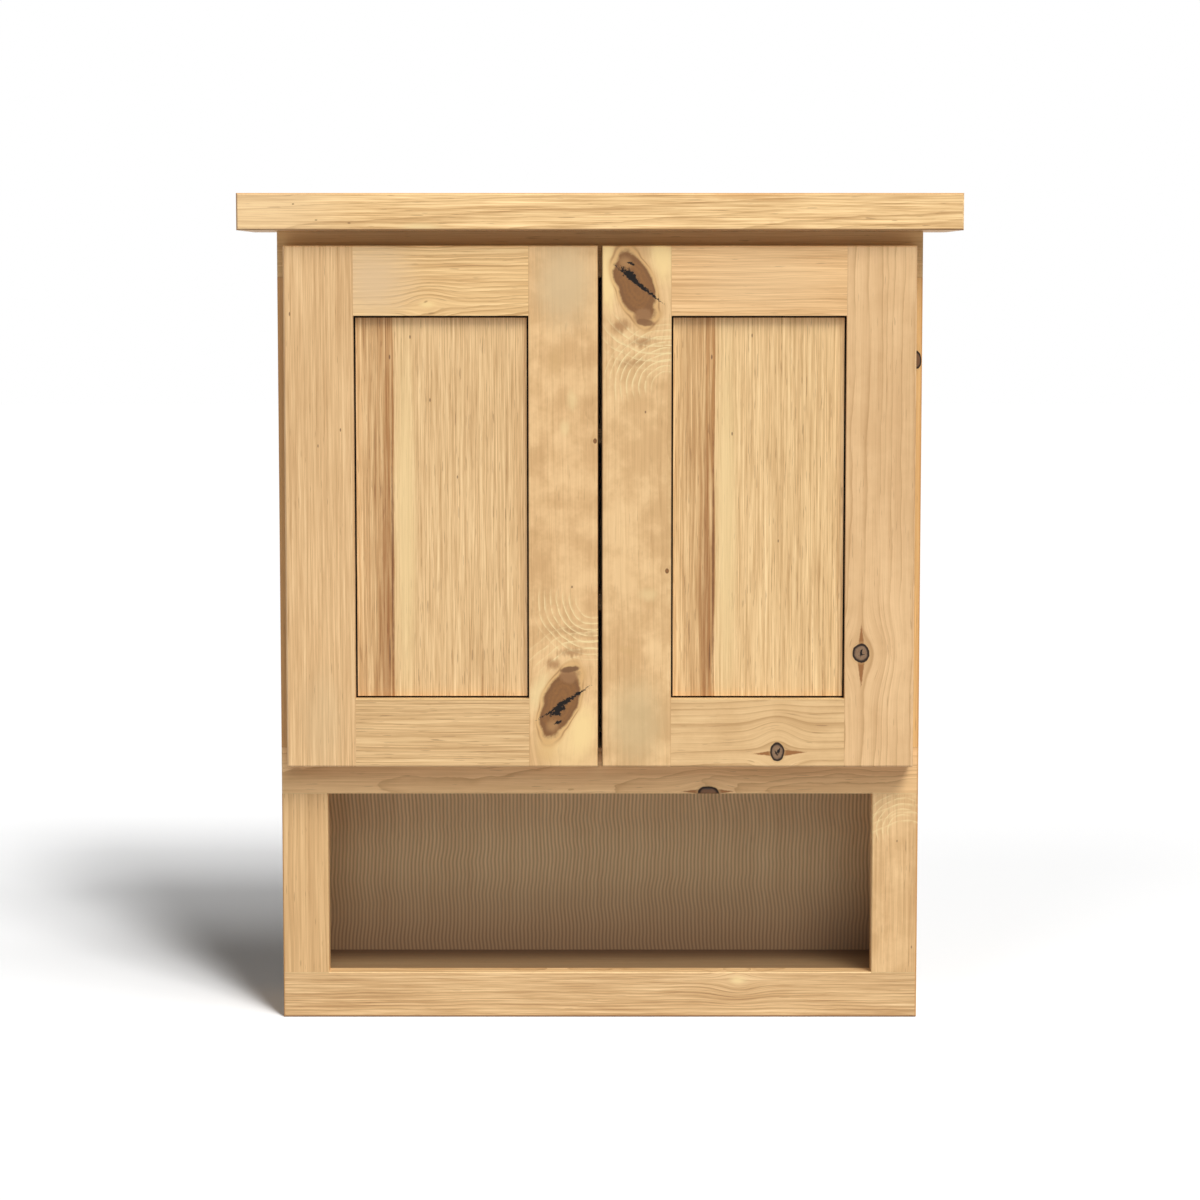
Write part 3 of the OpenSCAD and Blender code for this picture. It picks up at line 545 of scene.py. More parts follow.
# What a board and a knot are like unless their entries say otherwise
PLAIN_BOARD = dict(
    pith=(160, 0), slope=0.0, apex=0.0, wobble=8.0, spacing=3.4, lines=0.6, dark=0.66, fibre=0.45,
    streaks=0.5, pores=0.35, pore_density=0.5, tone=0.5, mottle=0.0, arris=0.5,
    knots=(), patches=(), edges=(), arcs=(), spikes=(), marks=(), cracks=())
PLAIN_KNOT = dict(turn=0, push=0.9, reach=1.8, halo=0.5, around=TAN, ring=0.6, shown=1.0, rim=0.75)

# Knots that only bend the grain, knots with dark bark, and those of them with a grey heart
BLIND_KNOT = dict(shown=0, rim=0, ring=0, halo=0, reach=2.6)
BARK_KNOT = dict(bark=BARK, rim=1.0)
ASHEN_KNOT = dict(BARK_KNOT, halo=0.3, ring=0.4, push=0.95, core=ASH)

ARRIS_WIDTH, GAP_SOFTNESS, SPIKE_TORN = 1.3, 0.4, 0.25
# An edge line starts this far in, so that the side beyond the edge stays plain
EDGE_START, EDGE_FULL = 0.005, 0.03
# Strength of the grain's bump, and its depth in metres
GRAIN_BUMP, GRAIN_DEPTH = 0.3, 0.00015
# How far the fibres spread the roughness, and how much smoother the oiled edges are
FIBRE_SPREAD, EDGE_GLOSS = 0.16, -0.08
# Steps of the seed from one mark to the next of its kind
KNOT_STEP, PATCH_STEP, SPIKE_STEP, CRACK_STEP = 3.3, 1.7, 1.3, 2.9
# How light and warm the grain's two ground colours are, and how a tint changes red, green and blue
LIGHT_TINT, WARM_TINT, TINT_POWERS = 1.08, 0.9, (0.8, 1.05, 1.4)
SPECK_SOFTNESS, SPECK_RAGGEDNESS = 0.5, 0.3


def tinted(colour, factor):
    """A colour made lighter or darker, where darker wood is also redder."""
    return tuple(min(c * factor ** power, 1.0) for c, power in zip(colour, TINT_POWERS))


def speck(along, across, half_along, half_across, strength):
    """A small dark speck, as a patch."""
    ellipse = along, across, half_along, half_across, 0
    return *ellipse, SPECK_SOFTNESS, SPECK_RAGGEDNESS, strength, SPECK


class BoardFinish:
    """Material of one board, built up from its grain to its darker, glossier arrises."""

    def __init__(self, name, node_name, spec):
        self.spec, self.seed = {**PLAIN_BOARD, **spec}, spec["seed"]
        self.wood = bpy.context.scene.cabinet_wood
        self.material, self.tree, self.shader, metres = new_material(name)
        inputs = {"Vector": metres, "Scale": (MM, MM, MM)}
        self.place = node(self.tree, "Mapping", inputs).outputs[0]
        self.axes = separate(self.place)
        self.order = GRAIN[spec["grain"]]
        self.flat = combine(*(self.axes[i] for i in self.order))
        self.low, self.high = (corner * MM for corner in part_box(node_name))
        self.middle = (self.low + self.high) / 2
        self.matt = 0.0
        board = self.bend_round_knots()
        self.add_grain(board)
        self.add_patches("patches")
        self.add_streak()
        self.add_ribs()
        self.add_edges()
        self.add_arcs()
        self.add_spikes()
        self.add_knots()
        self.add_patches("marks")
        self.add_cracks()
        self.add_arris()
        self.add_gap()
        self.link_shader()

    def paint(self, share, colour, mode="MIX"):
        self.base = mix(share, self.base, colour, mode)

    def make_matt(self, mask):
        self.matt = calc("MAXIMUM", self.matt, mask)

    def ellipse_mask(self, group, ellipse, seed_step, **more):
        """Mask in an ellipse, which is its place along and across, its half sizes and its turn."""
        along, across, half_along, half_across, turn = ellipse
        return use_group(shared_groups()[group], {
            "Vector": self.flat, "Along": along, "Across": across, "Half along": half_along,
            "Half across": half_across, "Turn": math.radians(turn), "Seed": self.seed + seed_step,
            **more,
        })["Mask"]

    def bend_round_knots(self):
        """Places on the board, as bent by the knots. Keeps each knot with its masks."""
        board, self.knots = self.flat, []
        for number, knot in enumerate(self.spec["knots"]):
            knot = {**PLAIN_KNOT, "seed": self.seed + KNOT_STEP * number, **knot}
            (along, across), (half_along, half_across) = knot["at"], knot["half"]
            found = use_group(shared_groups()["knot"], {
                "Vector": board, "Along": along, "Across": across, "Half along": half_along,
                "Half across": half_across, "Turn": math.radians(knot["turn"]),
                "Push": knot["push"], "Reach": knot["reach"], "Seed": knot["seed"]})
            board = found["Vector"]
            self.knots.append((knot, found))
        return board

    def add_grain(self, board):
        spec, order = self.spec, self.order
        pith_across, pith_depth = spec["pith"]
        self.grain = use_group(shared_groups()["grain"], {
            "Vector": board, "Pith across": self.middle[order[2]] + pith_across,
            "Pith depth": self.middle[order[1]] + pith_depth + spec["slope"] * spec["apex"],
            "Slope": spec["slope"], "Wobble": spec["wobble"], "Line spacing": spec["spacing"],
            "Pore density": spec["pore_density"], "Seed": self.seed})
        colour = spec["colour"]
        finish = use_group(shared_groups()["colour"], {
            **{label: self.grain[label] for label in FIELDS},
            "Light": tinted(colour, LIGHT_TINT), "Dark": tinted(colour, spec["dark"]),
            "Warm": tinted(colour, WARM_TINT), "Pore": tuple(self.wood.pore),
            "Line strength": spec["lines"], "Fibre strength": spec["fibre"],
            "Streak strength": spec["streaks"], "Pore strength": spec["pores"],
            "Tone strength": spec["tone"], "Mottle strength": spec["mottle"]})
        self.base, self.height = finish["Color"], finish["Height"]

    def add_patches(self, key):
        """Patches, each an ellipse with a softness, raggedness, strength and colour."""
        for number, (*ellipse, softness, ragged, strength, colour) in enumerate(self.spec[key]):
            mask = self.ellipse_mask(
                "patch", ellipse, PATCH_STEP * number, Softness=softness, Ragged=ragged)
            self.paint(times(mask, strength), colour)

    def add_streak(self):
        if "streak" in self.spec:
            soft, sharp, sway, strength, colour = self.spec["streak"]
            mask = use_group(shared_groups()["streak"], {
                "Vector": self.flat, "Soft edge": soft, "Sharp edge": sharp, "Sway": sway,
                "Seed": self.seed})["Mask"]
            mask = times(mask, fade(self.grain["Streaks"], *STREAK_BREAKS))
            self.paint(times(mask, strength), colour, "MULTIPLY")

    def add_ribs(self):
        if "ribs" in self.spec:
            pitch, strength, sway = self.spec["ribs"]
            sway = centred_noise(stretched(self.flat, RIB_SWAY), 1.0, sway)
            across = plus(separate(self.flat)[2], sway)
            wave = calc("SINE", times(across, 2 * math.pi / pitch))
            shade = calc("MULTIPLY_ADD", wave, strength, 1.0)
            self.paint(1.0, combine(shade, shade, shade), "MULTIPLY")

    def add_edges(self):
        """Lines along edges, each with its way, end, width, strength and colour."""
        for way, end, width, strength, colour in self.spec["edges"]:
            at = self.order[2] if way == "across" else self.order[0]
            reach = minus(self.axes[at], (self.low if end < 0 else self.high)[at])
            reach = calc("ABSOLUTE", reach)
            line = fade(reach, width, width * 0.5, 0.0, strength)
            self.paint(times(line, fade(reach, EDGE_START, EDGE_FULL)), colour)

    def add_arcs(self):
        """Curls, each with its centre, start, reach, spacing, facing and strength."""
        for along, across, start, reach, spacing, facing, strength in self.spec["arcs"]:
            facing = math.radians(facing)
            mask = use_group(shared_groups()["arcs"], {
                "Vector": self.flat, "Along": along, "Across": across, "Start": start,
                "Reach": reach, "Spacing": spacing, "Facing along": math.cos(facing),
                "Facing across": math.sin(facing), "Seed": self.seed})["Mask"]
            self.paint(times(mask, strength), CURL)

    def add_spikes(self):
        for number, ellipse in enumerate(self.spec["spikes"]):
            spike = self.ellipse_mask("crack", ellipse, SPIKE_STEP * number, Torn=SPIKE_TORN)
            self.paint(spike, SPIKE)

    def add_knots(self):
        rim_colour = tuple(self.wood.knot_rim)
        for knot, found in self.knots:
            self.paint(times(found["Halo"], knot["halo"]), knot["around"])
            self.paint(times(found["Ring"], knot["ring"]), BROWN)
            core = mix(found["Rings"], knot.get("core", tuple(self.wood.knot_core)), rim_colour)
            self.paint(times(found["Core"], knot["shown"]), core)
            rim = times(found["Rim"], knot["shown"] * knot["rim"])
            self.paint(rim, knot.get("bark", rim_colour))
            if "bark" in knot:
                self.make_matt(rim)

    def add_cracks(self):
        for number, ellipse in enumerate(self.spec["cracks"]):
            crack = self.ellipse_mask("crack", ellipse, CRACK_STEP * number)
            self.paint(crack, tuple(self.wood.knot_crack))
            self.height = minus(self.height, crack)
            self.make_matt(crack)

    def add_arris(self):
        self.arris = use_group(shared_groups()["arris"], {
            "Vector": self.place, "Middle": self.middle, "Half size": (self.high - self.low) / 2,
            "Width": ARRIS_WIDTH})
        share = times(self.arris["Edge"], self.spec["arris"])
        self.paint(share, tuple(self.wood.arris))

    def add_gap(self):
        """Paints the gap round a panel near-black, as painted shadow, from the gap's start to its
        end in Y.
        """
        if "gap" in self.spec:
            start, end = self.spec["gap"]
            gap = band(self.axes[1], start, start + GAP_SOFTNESS, end - GAP_SOFTNESS, end)
            self.paint(gap, UNLIT)
            self.make_matt(gap)

    def link_shader(self):
        tree, shader = self.tree, self.shader
        tree.links.new(self.base, shader.inputs["Base Color"])
        smoothest = self.wood.roughness - FIBRE_SPREAD / 2
        roughness = calc("MULTIPLY_ADD", self.grain["Fibre"], FIBRE_SPREAD, smoothest)
        roughness = calc("MULTIPLY_ADD", self.arris["Near edge"], EDGE_GLOSS, roughness)
        tree.links.new(calc("MAXIMUM", roughness, self.matt), shader.inputs["Roughness"])
        inputs = {"Height": self.height, "Strength": GRAIN_BUMP, "Distance": GRAIN_DEPTH}
        tree.links.new(node(tree, "Bump", inputs).outputs[0], shader.inputs["Normal"])


WELD_REACH = 0.00001
SHARP_ANGLE = math.radians(30)
# How much the arrises are rounded, in metres
BOARD_ROUNDING, HINGE_ROUNDING, SCREW_ROUNDING, BUMPER_ROUNDING = 0.00015, 0.0002, 0.0001, 0.0003


def dress(node_name, material, rounding):
    """Gives a CAD node its material, and rounds its arrises a little."""
    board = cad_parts[node_name]
    board.data.materials.clear()
    board.data.materials.append(material)
    weld = board.modifiers.new("Join the faces", "WELD")
    weld.merge_threshold = WELD_REACH
    bevel = board.modifiers.new("Round the arrises", "BEVEL")
    bevel.width = rounding
    bevel.segments = 2
    bevel.limit_method = "ANGLE"
    bevel.angle_limit = SHARP_ANGLE
    bevel.use_clamp_overlap = True


def dress_boards(specs):
    for node_name, spec in specs.items():
        dress(node_name, BoardFinish("oak_" + node_name, node_name, spec).material, BOARD_ROUNDING)


# The boards and the operators that finish them.
# Places on a board are in millimetres along the grain and across it

TOP_SLAB = {
    "top_slab": dict(
        grain="across", seed=1, colour=srgb(247, 205, 147), pith=(-30, 60), slope=0.012, apex=-60,
        spacing=2.2, wobble=2.2, lines=0.75, dark=0.52, fibre=1.7, streaks=1.7, pores=0.6, tone=0.6,
        arris=0.6,
        edges=[("along", -1, 1.6, 0.8, BROWN), ("across", 1, 1.0, 0.7, EDGE),
               ("across", -1, 1.4, 0.8, BROWN)],
        patches=[
            (-340, 775, 130, 60, 0, 0.7, 0.2, 0.45, PINKISH),
            (-168, 757, 26, 5, 0, 0.8, 0.3, 0.6, PALE),
            (135, 786, 75, 6, 0, 0.8, 0.8, 0.4, EDGE),
            speck(-286.2, 778.2, 1.5, 0.8, 0.8),
            speck(-234.1, 760.6, 2, 0.8, 0.7),
            speck(-264.8, 763.4, 1.6, 0.7, 0.7),
        ]),
}


class CABINET_OT_top_slab(bpy.types.Operator):
    """Finish the thick slab on top"""

    bl_idname = "cabinet.top_slab"
    bl_label = "Top slab"

    def execute(self, context):
        dress_boards(TOP_SLAB)
        return {"FINISHED"}


FACE_FRAME = {
    "top_frame_rail": dict(grain="across", seed=2, colour=srgb(222, 183, 127), spacing=3.0),
    "middle_frame_rail": dict(
        grain="across", seed=3, colour=srgb(238, 194, 140), pith=(-18, 22), slope=0.05, apex=-120,
        spacing=5.5, wobble=14, lines=0.95, dark=0.6, streaks=0.7, arris=0.3,
        # The pale line on the bottom edge is a painted highlight
        edges=[("across", -1, 1.0, 0.6, PALE), ("along", 1, 1.8, 0.7, EDGE)],
        spikes=[(103.5, 219.5, 27, 3.2, 0)],
        knots=[dict(BARK_KNOT, at=(103.5, 217), half=(9.5, 7), reach=2.4, core=SPECK)],
        marks=[(103.5, 222.6, 7, 1.6, 0, 0.7, 0.8, 0.9, BARK)]),
    "bottom_frame_rail": dict(
        grain="across", seed=4, colour=srgb(222, 182, 132), pith=(-60, 10), spacing=3.0, wobble=7,
        lines=1.0, dark=0.52, streaks=1.6, fibre=1.3, arris=0.3,
        # The pale line on the top edge is a painted highlight
        edges=[("across", -1, 2.2, 0.8, BROWN), ("across", 1, 1.0, 0.6, PALE),
               ("along", -1, 1.6, 0.7, EDGE), ("along", 1, 1.8, 0.7, EDGE)],
        knots=[dict(BLIND_KNOT, at=(133, 36), half=(9, 6), push=0.85)],
        patches=[(133, 36, 12, 6, 0, 0.9, 0.4, 0.8, PALE)]),
    "left_upper_frame_stile": dict(
        grain="up", seed=5, colour=srgb(208, 160, 104), arris=0.3,
        edges=[("across", -1, 1.6, 0.8, EDGE)]),
    "right_upper_frame_stile": dict(
        grain="up", seed=6, colour=srgb(228, 182, 120), arris=0.3,
        edges=[("across", 1, 1.8, 0.8, EDGE)],
        knots=[dict(BARK_KNOT, at=(632, 299.6), half=(8, 4.3), reach=2.4, core=SPECK, halo=0.2)]),
    "left_lower_frame_stile": dict(
        grain="up", seed=7, colour=srgb(224, 182, 130), pith=(90, 12), spacing=4.5, lines=0.7,
        streaks=0.8, pores=0.5, arris=0.3,
        # The pale line on the inner edge is a painted highlight
        edges=[("across", -1, 1.6, 0.8, EDGE), ("across", 1, 1.0, 0.5, PALE)]),
    "right_lower_frame_stile": dict(
        grain="up", seed=8, colour=srgb(228, 186, 134), pith=(60, 10), spacing=5.0, lines=0.6,
        streaks=0.7, mottle=0.2, arris=0.3,
        # The pale line on the inner edge is a painted highlight
        edges=[("across", 1, 1.8, 0.8, EDGE), ("across", -1, 1.0, 0.5, PALE)],
        arcs=[(181, 291, 9, 48, 5.4, -45, 0.8), (140, 296, 44, 84, 7.5, 5, 0.6)],
        patches=[
            speck(171.4, 285.2, 1.6, 0.8, 0.7),
            speck(68.1, 300, 1.8, 0.8, 0.7),
        ]),
}


class CABINET_OT_face_frame(bpy.types.Operator):
    """Finish the rails and stiles of the face frame"""

    bl_idname = "cabinet.face_frame"
    bl_label = "Face frame"

    def execute(self, context):
        dress_boards(FACE_FRAME)
        return {"FINISHED"}


class CABINET_OT_case_boards(bpy.types.Operator):
    """Finish the sides, decks, back, hanging rails and shelves"""

    bl_idname = "cabinet.case_boards"
    bl_label = "Case boards"

    def execute(self, context):
        plain = srgb(224, 182, 130)
        specs = {}
        for seed, name in enumerate(("left_side", "right_side"), 10):
            specs[name] = dict(
                grain="side", seed=seed, colour=srgb(232, 192, 142), pith=(40, 50), slope=0.04,
                spacing=4.2, wobble=14, lines=0.95, dark=0.55, streaks=1.1, fibre=1.2, pores=0.5,
                arris=0.4)
        for seed, name in enumerate(("case_top", "fixed_shelf", "upper_shelf", "lower_shelf"), 20):
            specs[name] = dict(
                grain="level", seed=seed, colour=plain, pith=(30, 60), spacing=3.8, lines=0.8,
                streaks=0.9, fibre=0.9, pores=0.5)
        specs["case_bottom"] = dict(
            grain="level", seed=24, colour=plain, pith=(10, 40), spacing=3.0, wobble=10, lines=0.7,
            fibre=0.8, streaks=1.2, pores=0.6,
            # Painted shade in the cubby: the whole deck is painted dark brown, and darker still
            # towards the back
            patches=[
                (0, 4, 3000, 59, 0, 0.06, 0, 0.85, srgb(102, 80, 57)),
                (0, 60, 3000, 72, 0, 0.95, 0.1, 0.9, srgb(73, 46, 24)),
            ])
        for seed, name in enumerate(("upper_hanging_rail", "lower_hanging_rail"), 30):
            specs[name] = dict(grain="across", seed=seed, colour=plain)
        specs["back_panel"] = dict(
            grain="up", seed=40, colour=srgb(209, 180, 137), pith=(400, 0), spacing=3.7, wobble=9,
            lines=0.1, dark=0.6, streaks=0.45, pores=0.3, ribs=(3.7, 0.26, 13.0),
            # Painted shade: the back is painted darker towards the cubby's floor
            patches=[(30, 0, 150, 3000, 0, 0.95, 0, 1.0, srgb(140, 108, 78))])
        dress_boards(specs)
        return {"FINISHED"}


MEETING_STILE = dict(
    grain="up", slope=0.02, spacing=6.5, wobble=8, lines=0.4, streaks=0.25, fibre=0.4, pores=0.2,
    mottle=0.3, tone=0.3, arris=0.3)
LARGE_KNOT = dict(halo=0.75, ring=0.7, around=GOLD, rim=0.4)
PIN_KNOT = dict(half=(2.2, 1.6), reach=3.0, halo=0.8)

DOOR_FRAMES = {
    "left_door_hinge_stile": dict(
        grain="up", seed=50, colour=srgb(230, 188, 137), pith=(220, 20), spacing=3.4, wobble=5,
        lines=0.65, streaks=1.1, fibre=1.0, pores=0.5, arris=0.3,
        patches=[
            speck(675.9, -291.5, 2.4, 0.9, 0.8),
            speck(567.1, -244.4, 2.2, 0.9, 0.8),
            speck(552, -265.7, 2, 0.8, 0.7),
            (290, -264, 70, 30, 0, 0.8, 0.3, 0.35, GREYISH),
        ]),
    "left_door_top_rail": dict(
        grain="across", seed=51, colour=srgb(244, 202, 144), pith=(-42, 14), slope=0.06, apex=-140,
        spacing=3.4, wobble=9, lines=1.0, dark=0.5, streaks=1.2, fibre=0.8, arris=0.25,
        knots=[dict(BLIND_KNOT, at=(-162.3, 681), half=(9, 7))],
        patches=[
            (-162.3, 685, 11, 5, 0, 0.9, 0.5, 0.9, YELLOW),
            (-163.5, 687.5, 3, 1.4, 20, 0.8, 0.6, 0.7, BROWN),
            (-214, 707, 58, 60, 0, 0.95, 0.4, 0.9, srgb(230, 196, 154)),
        ]),
    "left_door_bottom_rail": dict(
        grain="across", seed=52, colour=srgb(228, 188, 136), pith=(-90, 14), spacing=3.4, wobble=6,
        lines=0.9, dark=0.5, streaks=1.0, fibre=1.0, pores=0.45, pore_density=0.8, arris=0.25,
        # The yellow line on the top edge, by the panel, is a painted highlight
        edges=[("across", 1, 1.3, 0.8, YELLOW)]),
    "left_door_meeting_stile": dict(
        MEETING_STILE, seed=53, colour=srgb(230, 187, 134), pith=(26, 14), apex=500,
        # The dark line on the meeting edge is painted shade, widening the shadowed gap between the
        # doors
        edges=[("across", 1, 0.6, 0.95, MEETING_EDGE_SHADE)],
        arcs=[(406.2, -6.6, 12, 66, 5.8, -145, 1.0), (302, -10.5, 48, 92, 7.4, 15, 0.85)],
        knots=[
            dict(LARGE_KNOT, at=(307.5, -38), half=(34, 15.5), turn=20, reach=1.6),
            dict(PIN_KNOT, at=(556.7, -4.7), seed=3.0),
        ],
        marks=[
            (334, -30, 9, 10, 20, 0.4, 0.4, 0.9, NECK),
            (340, -29, 3.4, 11.5, -8, 0.4, 0.5, 0.95, srgb(122, 84, 50)),
            (286, -45, 9, 8, 30, 0.8, 0.4, 0.6, SHOULDER),
            (345, -44, 7, 10, 20, 0.8, 1.2, 0.75, BROWN),
            (356, -27, 6, 17, 0, 0.9, 1.6, 0.7, BROWN),
        ],
        cracks=[(308.8, -33, 30, 2.5, 57), (300, -40, 11, 4.4, 55), (289, -40, 4.5, 1.8, 70)],
        patches=[
            (705, -34, 60, 40, 0, 0.8, 0.3, 0.85, GREYISH),
            (631, -42.3, 22, 10, 10, 0.8, 0.8, 0.45, TAN),
            (595.3, -26.3, 14, 7, 0, 0.8, 0.6, 0.5, PALE),
            (569, -33, 10, 6, 0, 0.8, 0.6, 0.5, PALE),
            speck(418.6, -26.5, 1.6, 1, 0.8),
            (376, -27, 7, 30, 8, 0.9, 1.6, 0.5, BROWN),
            (282, -17, 34, 17, 10, 0.8, 0.4, 1.0, YELLOW),
            (318, -58, 30, 12, 20, 0.8, 0.5, 0.7, PALE),
            (262, -50, 14, 14, 0, 0.8, 0.5, 0.7, GOLD),
            (272, -30, 44, 44, 0, 0.8, 0.3, 0.5, YELLOW),
        ]),
    "right_door_meeting_stile": dict(
        MEETING_STILE, seed=54, colour=srgb(230, 188, 135), pith=(36, 14), apex=450,
        # The dark line on the meeting edge is painted shade, widening the shadowed gap between the
        # doors
        edges=[("across", -1, 0.6, 0.95, MEETING_EDGE_SHADE)],
        arcs=[(605.6, 64, 12, 72, 5.6, -35, 1.0), (709, 58, 48, 96, 7.2, 165, 0.9)],
        knots=[
            dict(LARGE_KNOT, at=(702, 33), half=(36, 16), turn=-20, reach=1.5),
            dict(PIN_KNOT, at=(433.8, 63.4), seed=5.0),
        ],
        marks=[
            (674, 40, 9, 10, -20, 0.4, 0.4, 0.9, NECK),
            (668, 42, 4, 11, 8, 0.4, 0.5, 0.9, srgb(132, 92, 56)),
            (724, 24, 9, 8, -30, 0.8, 0.4, 0.6, SHOULDER),
            (664, 20, 8, 11, -20, 0.8, 1.2, 0.75, BROWN),
            (649, 38, 7, 18, -8, 0.9, 1.6, 0.7, BROWN),
        ],
        cracks=[(704, 36, 31, 2.4, 128), (713, 28, 12, 4.4, 130), (723, 29, 4.5, 1.8, 110)],
        patches=[
            (730, 58, 36, 17, -10, 0.8, 0.4, 1.0, YELLOW),
            (714, 7, 46, 13, 0, 0.6, 0.5, 1.0, YELLOW),
            (630, 30, 6, 22, -8, 0.9, 1.6, 0.5, BROWN),
            speck(584, 42.8, 1.6, 1, 0.8),
            (410.9, 45.4, 9, 14, 0, 0.8, 0.6, 0.45, PALE),
            (357.6, 25.6, 6, 12, 20, 0.8, 0.8, 0.45, TAN),
            (290, 34, 60, 40, 0, 0.8, 0.3, 0.7, srgb(212, 184, 138)),
        ]),
    "right_door_top_rail": dict(
        grain="across", seed=55, colour=srgb(240, 194, 139), pith=(-60, 14), spacing=3.2, wobble=8,
        lines=0.85, dark=0.62, streaks=1.0, fibre=0.7, pores=0.5, arris=0.25,
        patches=[(150, 707, 90, 40, 0, 0.8, 0.3, 0.3, PINKISH)]),
    "right_door_bottom_rail": dict(
        grain="across", seed=56, colour=srgb(230, 190, 138), pith=(-44, 10), slope=0.03, apex=150,
        spacing=7.5, wobble=7, lines=1.0, dark=0.6, streaks=0.4, mottle=0.12, arris=0.25,
        # The yellow line on the top edge, by the panel, is a painted highlight
        edges=[("across", 1, 1.3, 0.8, YELLOW)],
        spikes=[(171, 260, 27, 3.6, 2)],
        knots=[dict(ASHEN_KNOT, at=(168.6, 261.1), half=(6.4, 8.6), reach=3.2)],
        cracks=[(170, 262, 5, 1.1, 70), (167.5, 260, 4, 0.9, -60)]),
    "right_door_hinge_stile": dict(
        grain="up", seed=57, colour=srgb(234, 192, 142), pith=(-50, 14), slope=0.02, apex=360,
        spacing=9.0, wobble=10, lines=0.95, dark=0.62, streaks=0.35, fibre=0.35, mottle=0.1,
        arris=0.3, spikes=[(353, 247.6, 32, 4.0, 0)],
        knots=[dict(ASHEN_KNOT, at=(355.7, 247.4), half=(8.8, 7.6), reach=3.4)],
        cracks=[(356, 247.6, 5, 1.1, 10), (354, 248.4, 3.5, 0.9, 80)]),
}


class CABINET_OT_door_frames(bpy.types.Operator):
    """Finish the stiles and rails of both doors"""

    bl_idname = "cabinet.door_frames"
    bl_label = "Door frames"

    def execute(self, context):
        dress_boards(DOOR_FRAMES)
        return {"FINISHED"}


# From a place on the left panel to the like place on the right one
DOOR_STEP = 303.5
# The gap, between two depths in Y, is painted near-black as painted shadow round the panel
PANEL = dict(
    grain="up", pith=(260, 6), spacing=3.2, wobble=4, lines=0.6, dark=0.6, streaks=1.1, fibre=1.6,
    pores=0.38, pore_density=0.75, arris=0.0, gap=(-65.6, -61.0))
HEART, FINE_LINE = srgb(208, 184, 160), srgb(170, 120, 74)
# Where the fine dark lines stand across the left panel
FINE_LINES = (-152.3, -138.5, -111.6, -101.7, -91.7)


class CABINET_OT_door_panels(bpy.types.Operator):
    """Finish the panels inside the doors"""

    bl_idname = "cabinet.door_panels"
    bl_label = "Door panels"

    def execute(self, context):
        panels = {}
        for side, seed, at, colour in (
                ("left_", 70, 0, srgb(233, 193, 141)),
                ("right_", 71, DOOR_STEP, srgb(236, 196, 142))):
            panels[side + "door_panel"] = dict(
                PANEL, seed=seed, colour=colour, streak=(-240 + at, -195.4 + at, 3.0, 1.0, HEART),
                patches=[
                    (480, -184 + at, 240, 14, 0, 0.8, 0.3, 0.75, srgb(248, 216, 160)),
                    (400, -203.0 + at, 200, 8, 0, 0.8, 0.4, 0.5, srgb(176, 122, 70)),
                    (440, -196.4 + at, 170, 1.5, 0, 0.8, 1.0, 0.8, srgb(132, 88, 50)),
                    (353.1, -199.5 + at, 22, 1.0, 0, 0.6, 0.8, 0.7, SPECK),
                    (635.5, -198.2 + at, 3, 1.0, 0, 0.6, 0.4, 0.8, SPECK),
                    speck(654.3 - 0.3 * at, -178.8 + at, 2.2, 0.9, 0.8),
                    speck(595 + 0.2 * at, -160.3 + at, 2.4, 0.9, 0.8),
                    speck(522.4 - 0.2 * at, -134.7 + at, 2, 0.9, 0.7),
                    *((490 + 3 * x, x + at, 270, 0.9, 0, 0.7, 1.2, 0.7, FINE_LINE)
                      for x in FINE_LINES),
                ])
        dress_boards(panels)
        return {"FINISHED"}


# Cycles in a metre of the marks and clouds on the plating, and of the clouds in the bumpers
PLATING_MARKS, PLATING_CLOUDS, BUMPER_CLOUDS = 420.0, 60.0, 700.0
# How far the marks spread the plating's roughness, their bump's strength and its depth in metres
MARK_SPREAD, MARK_BUMP, MARK_DEPTH = 0.3, 0.15, 0.0001
NICKEL_ROUGHNESS, ZINC_ROUGHNESS, BUMPER_ROUGHNESS = 0.32, 0.38, 0.35
# How dark the clouds are
PLATING_SHADE, BUMPER_SHADE = 0.82, 0.9


def plated_material(name, colour, roughness):
    material, tree, shader, coordinates = new_material(name)
    marks = noise(coordinates, PLATING_MARKS, 3.0, 0.6)
    cloud = noise(coordinates, PLATING_CLOUDS, 2.0, 0.5)
    base = mix(fade(cloud, 0.35, 0.7), colour, tuple(c * PLATING_SHADE for c in colour))
    tree.links.new(base, shader.inputs["Base Color"])
    roughness = calc("MULTIPLY_ADD", marks, MARK_SPREAD, roughness - MARK_SPREAD / 2)
    tree.links.new(roughness, shader.inputs["Roughness"])
    shader.inputs["Metallic"].default_value = 1.0
    bump = node(tree, "Bump", {"Height": marks, "Strength": MARK_BUMP, "Distance": MARK_DEPTH})
    tree.links.new(bump.outputs[0], shader.inputs["Normal"])
    return material


class CABINET_OT_hinges(bpy.types.Operator):
    """Finish the hinge arms and cups"""

    bl_idname = "cabinet.hinges"
    bl_label = "Hinges"

    def execute(self, context):
        colour = tuple(context.scene.cabinet_hardware.nickel)
        nickel = plated_material("nickel_plated", colour, NICKEL_ROUGHNESS)
        for side in ("left_", "right_"):
            for part in ("hinge_arms", "hinge_cups"):
                dress(side + part, nickel, HINGE_ROUNDING)
        return {"FINISHED"}


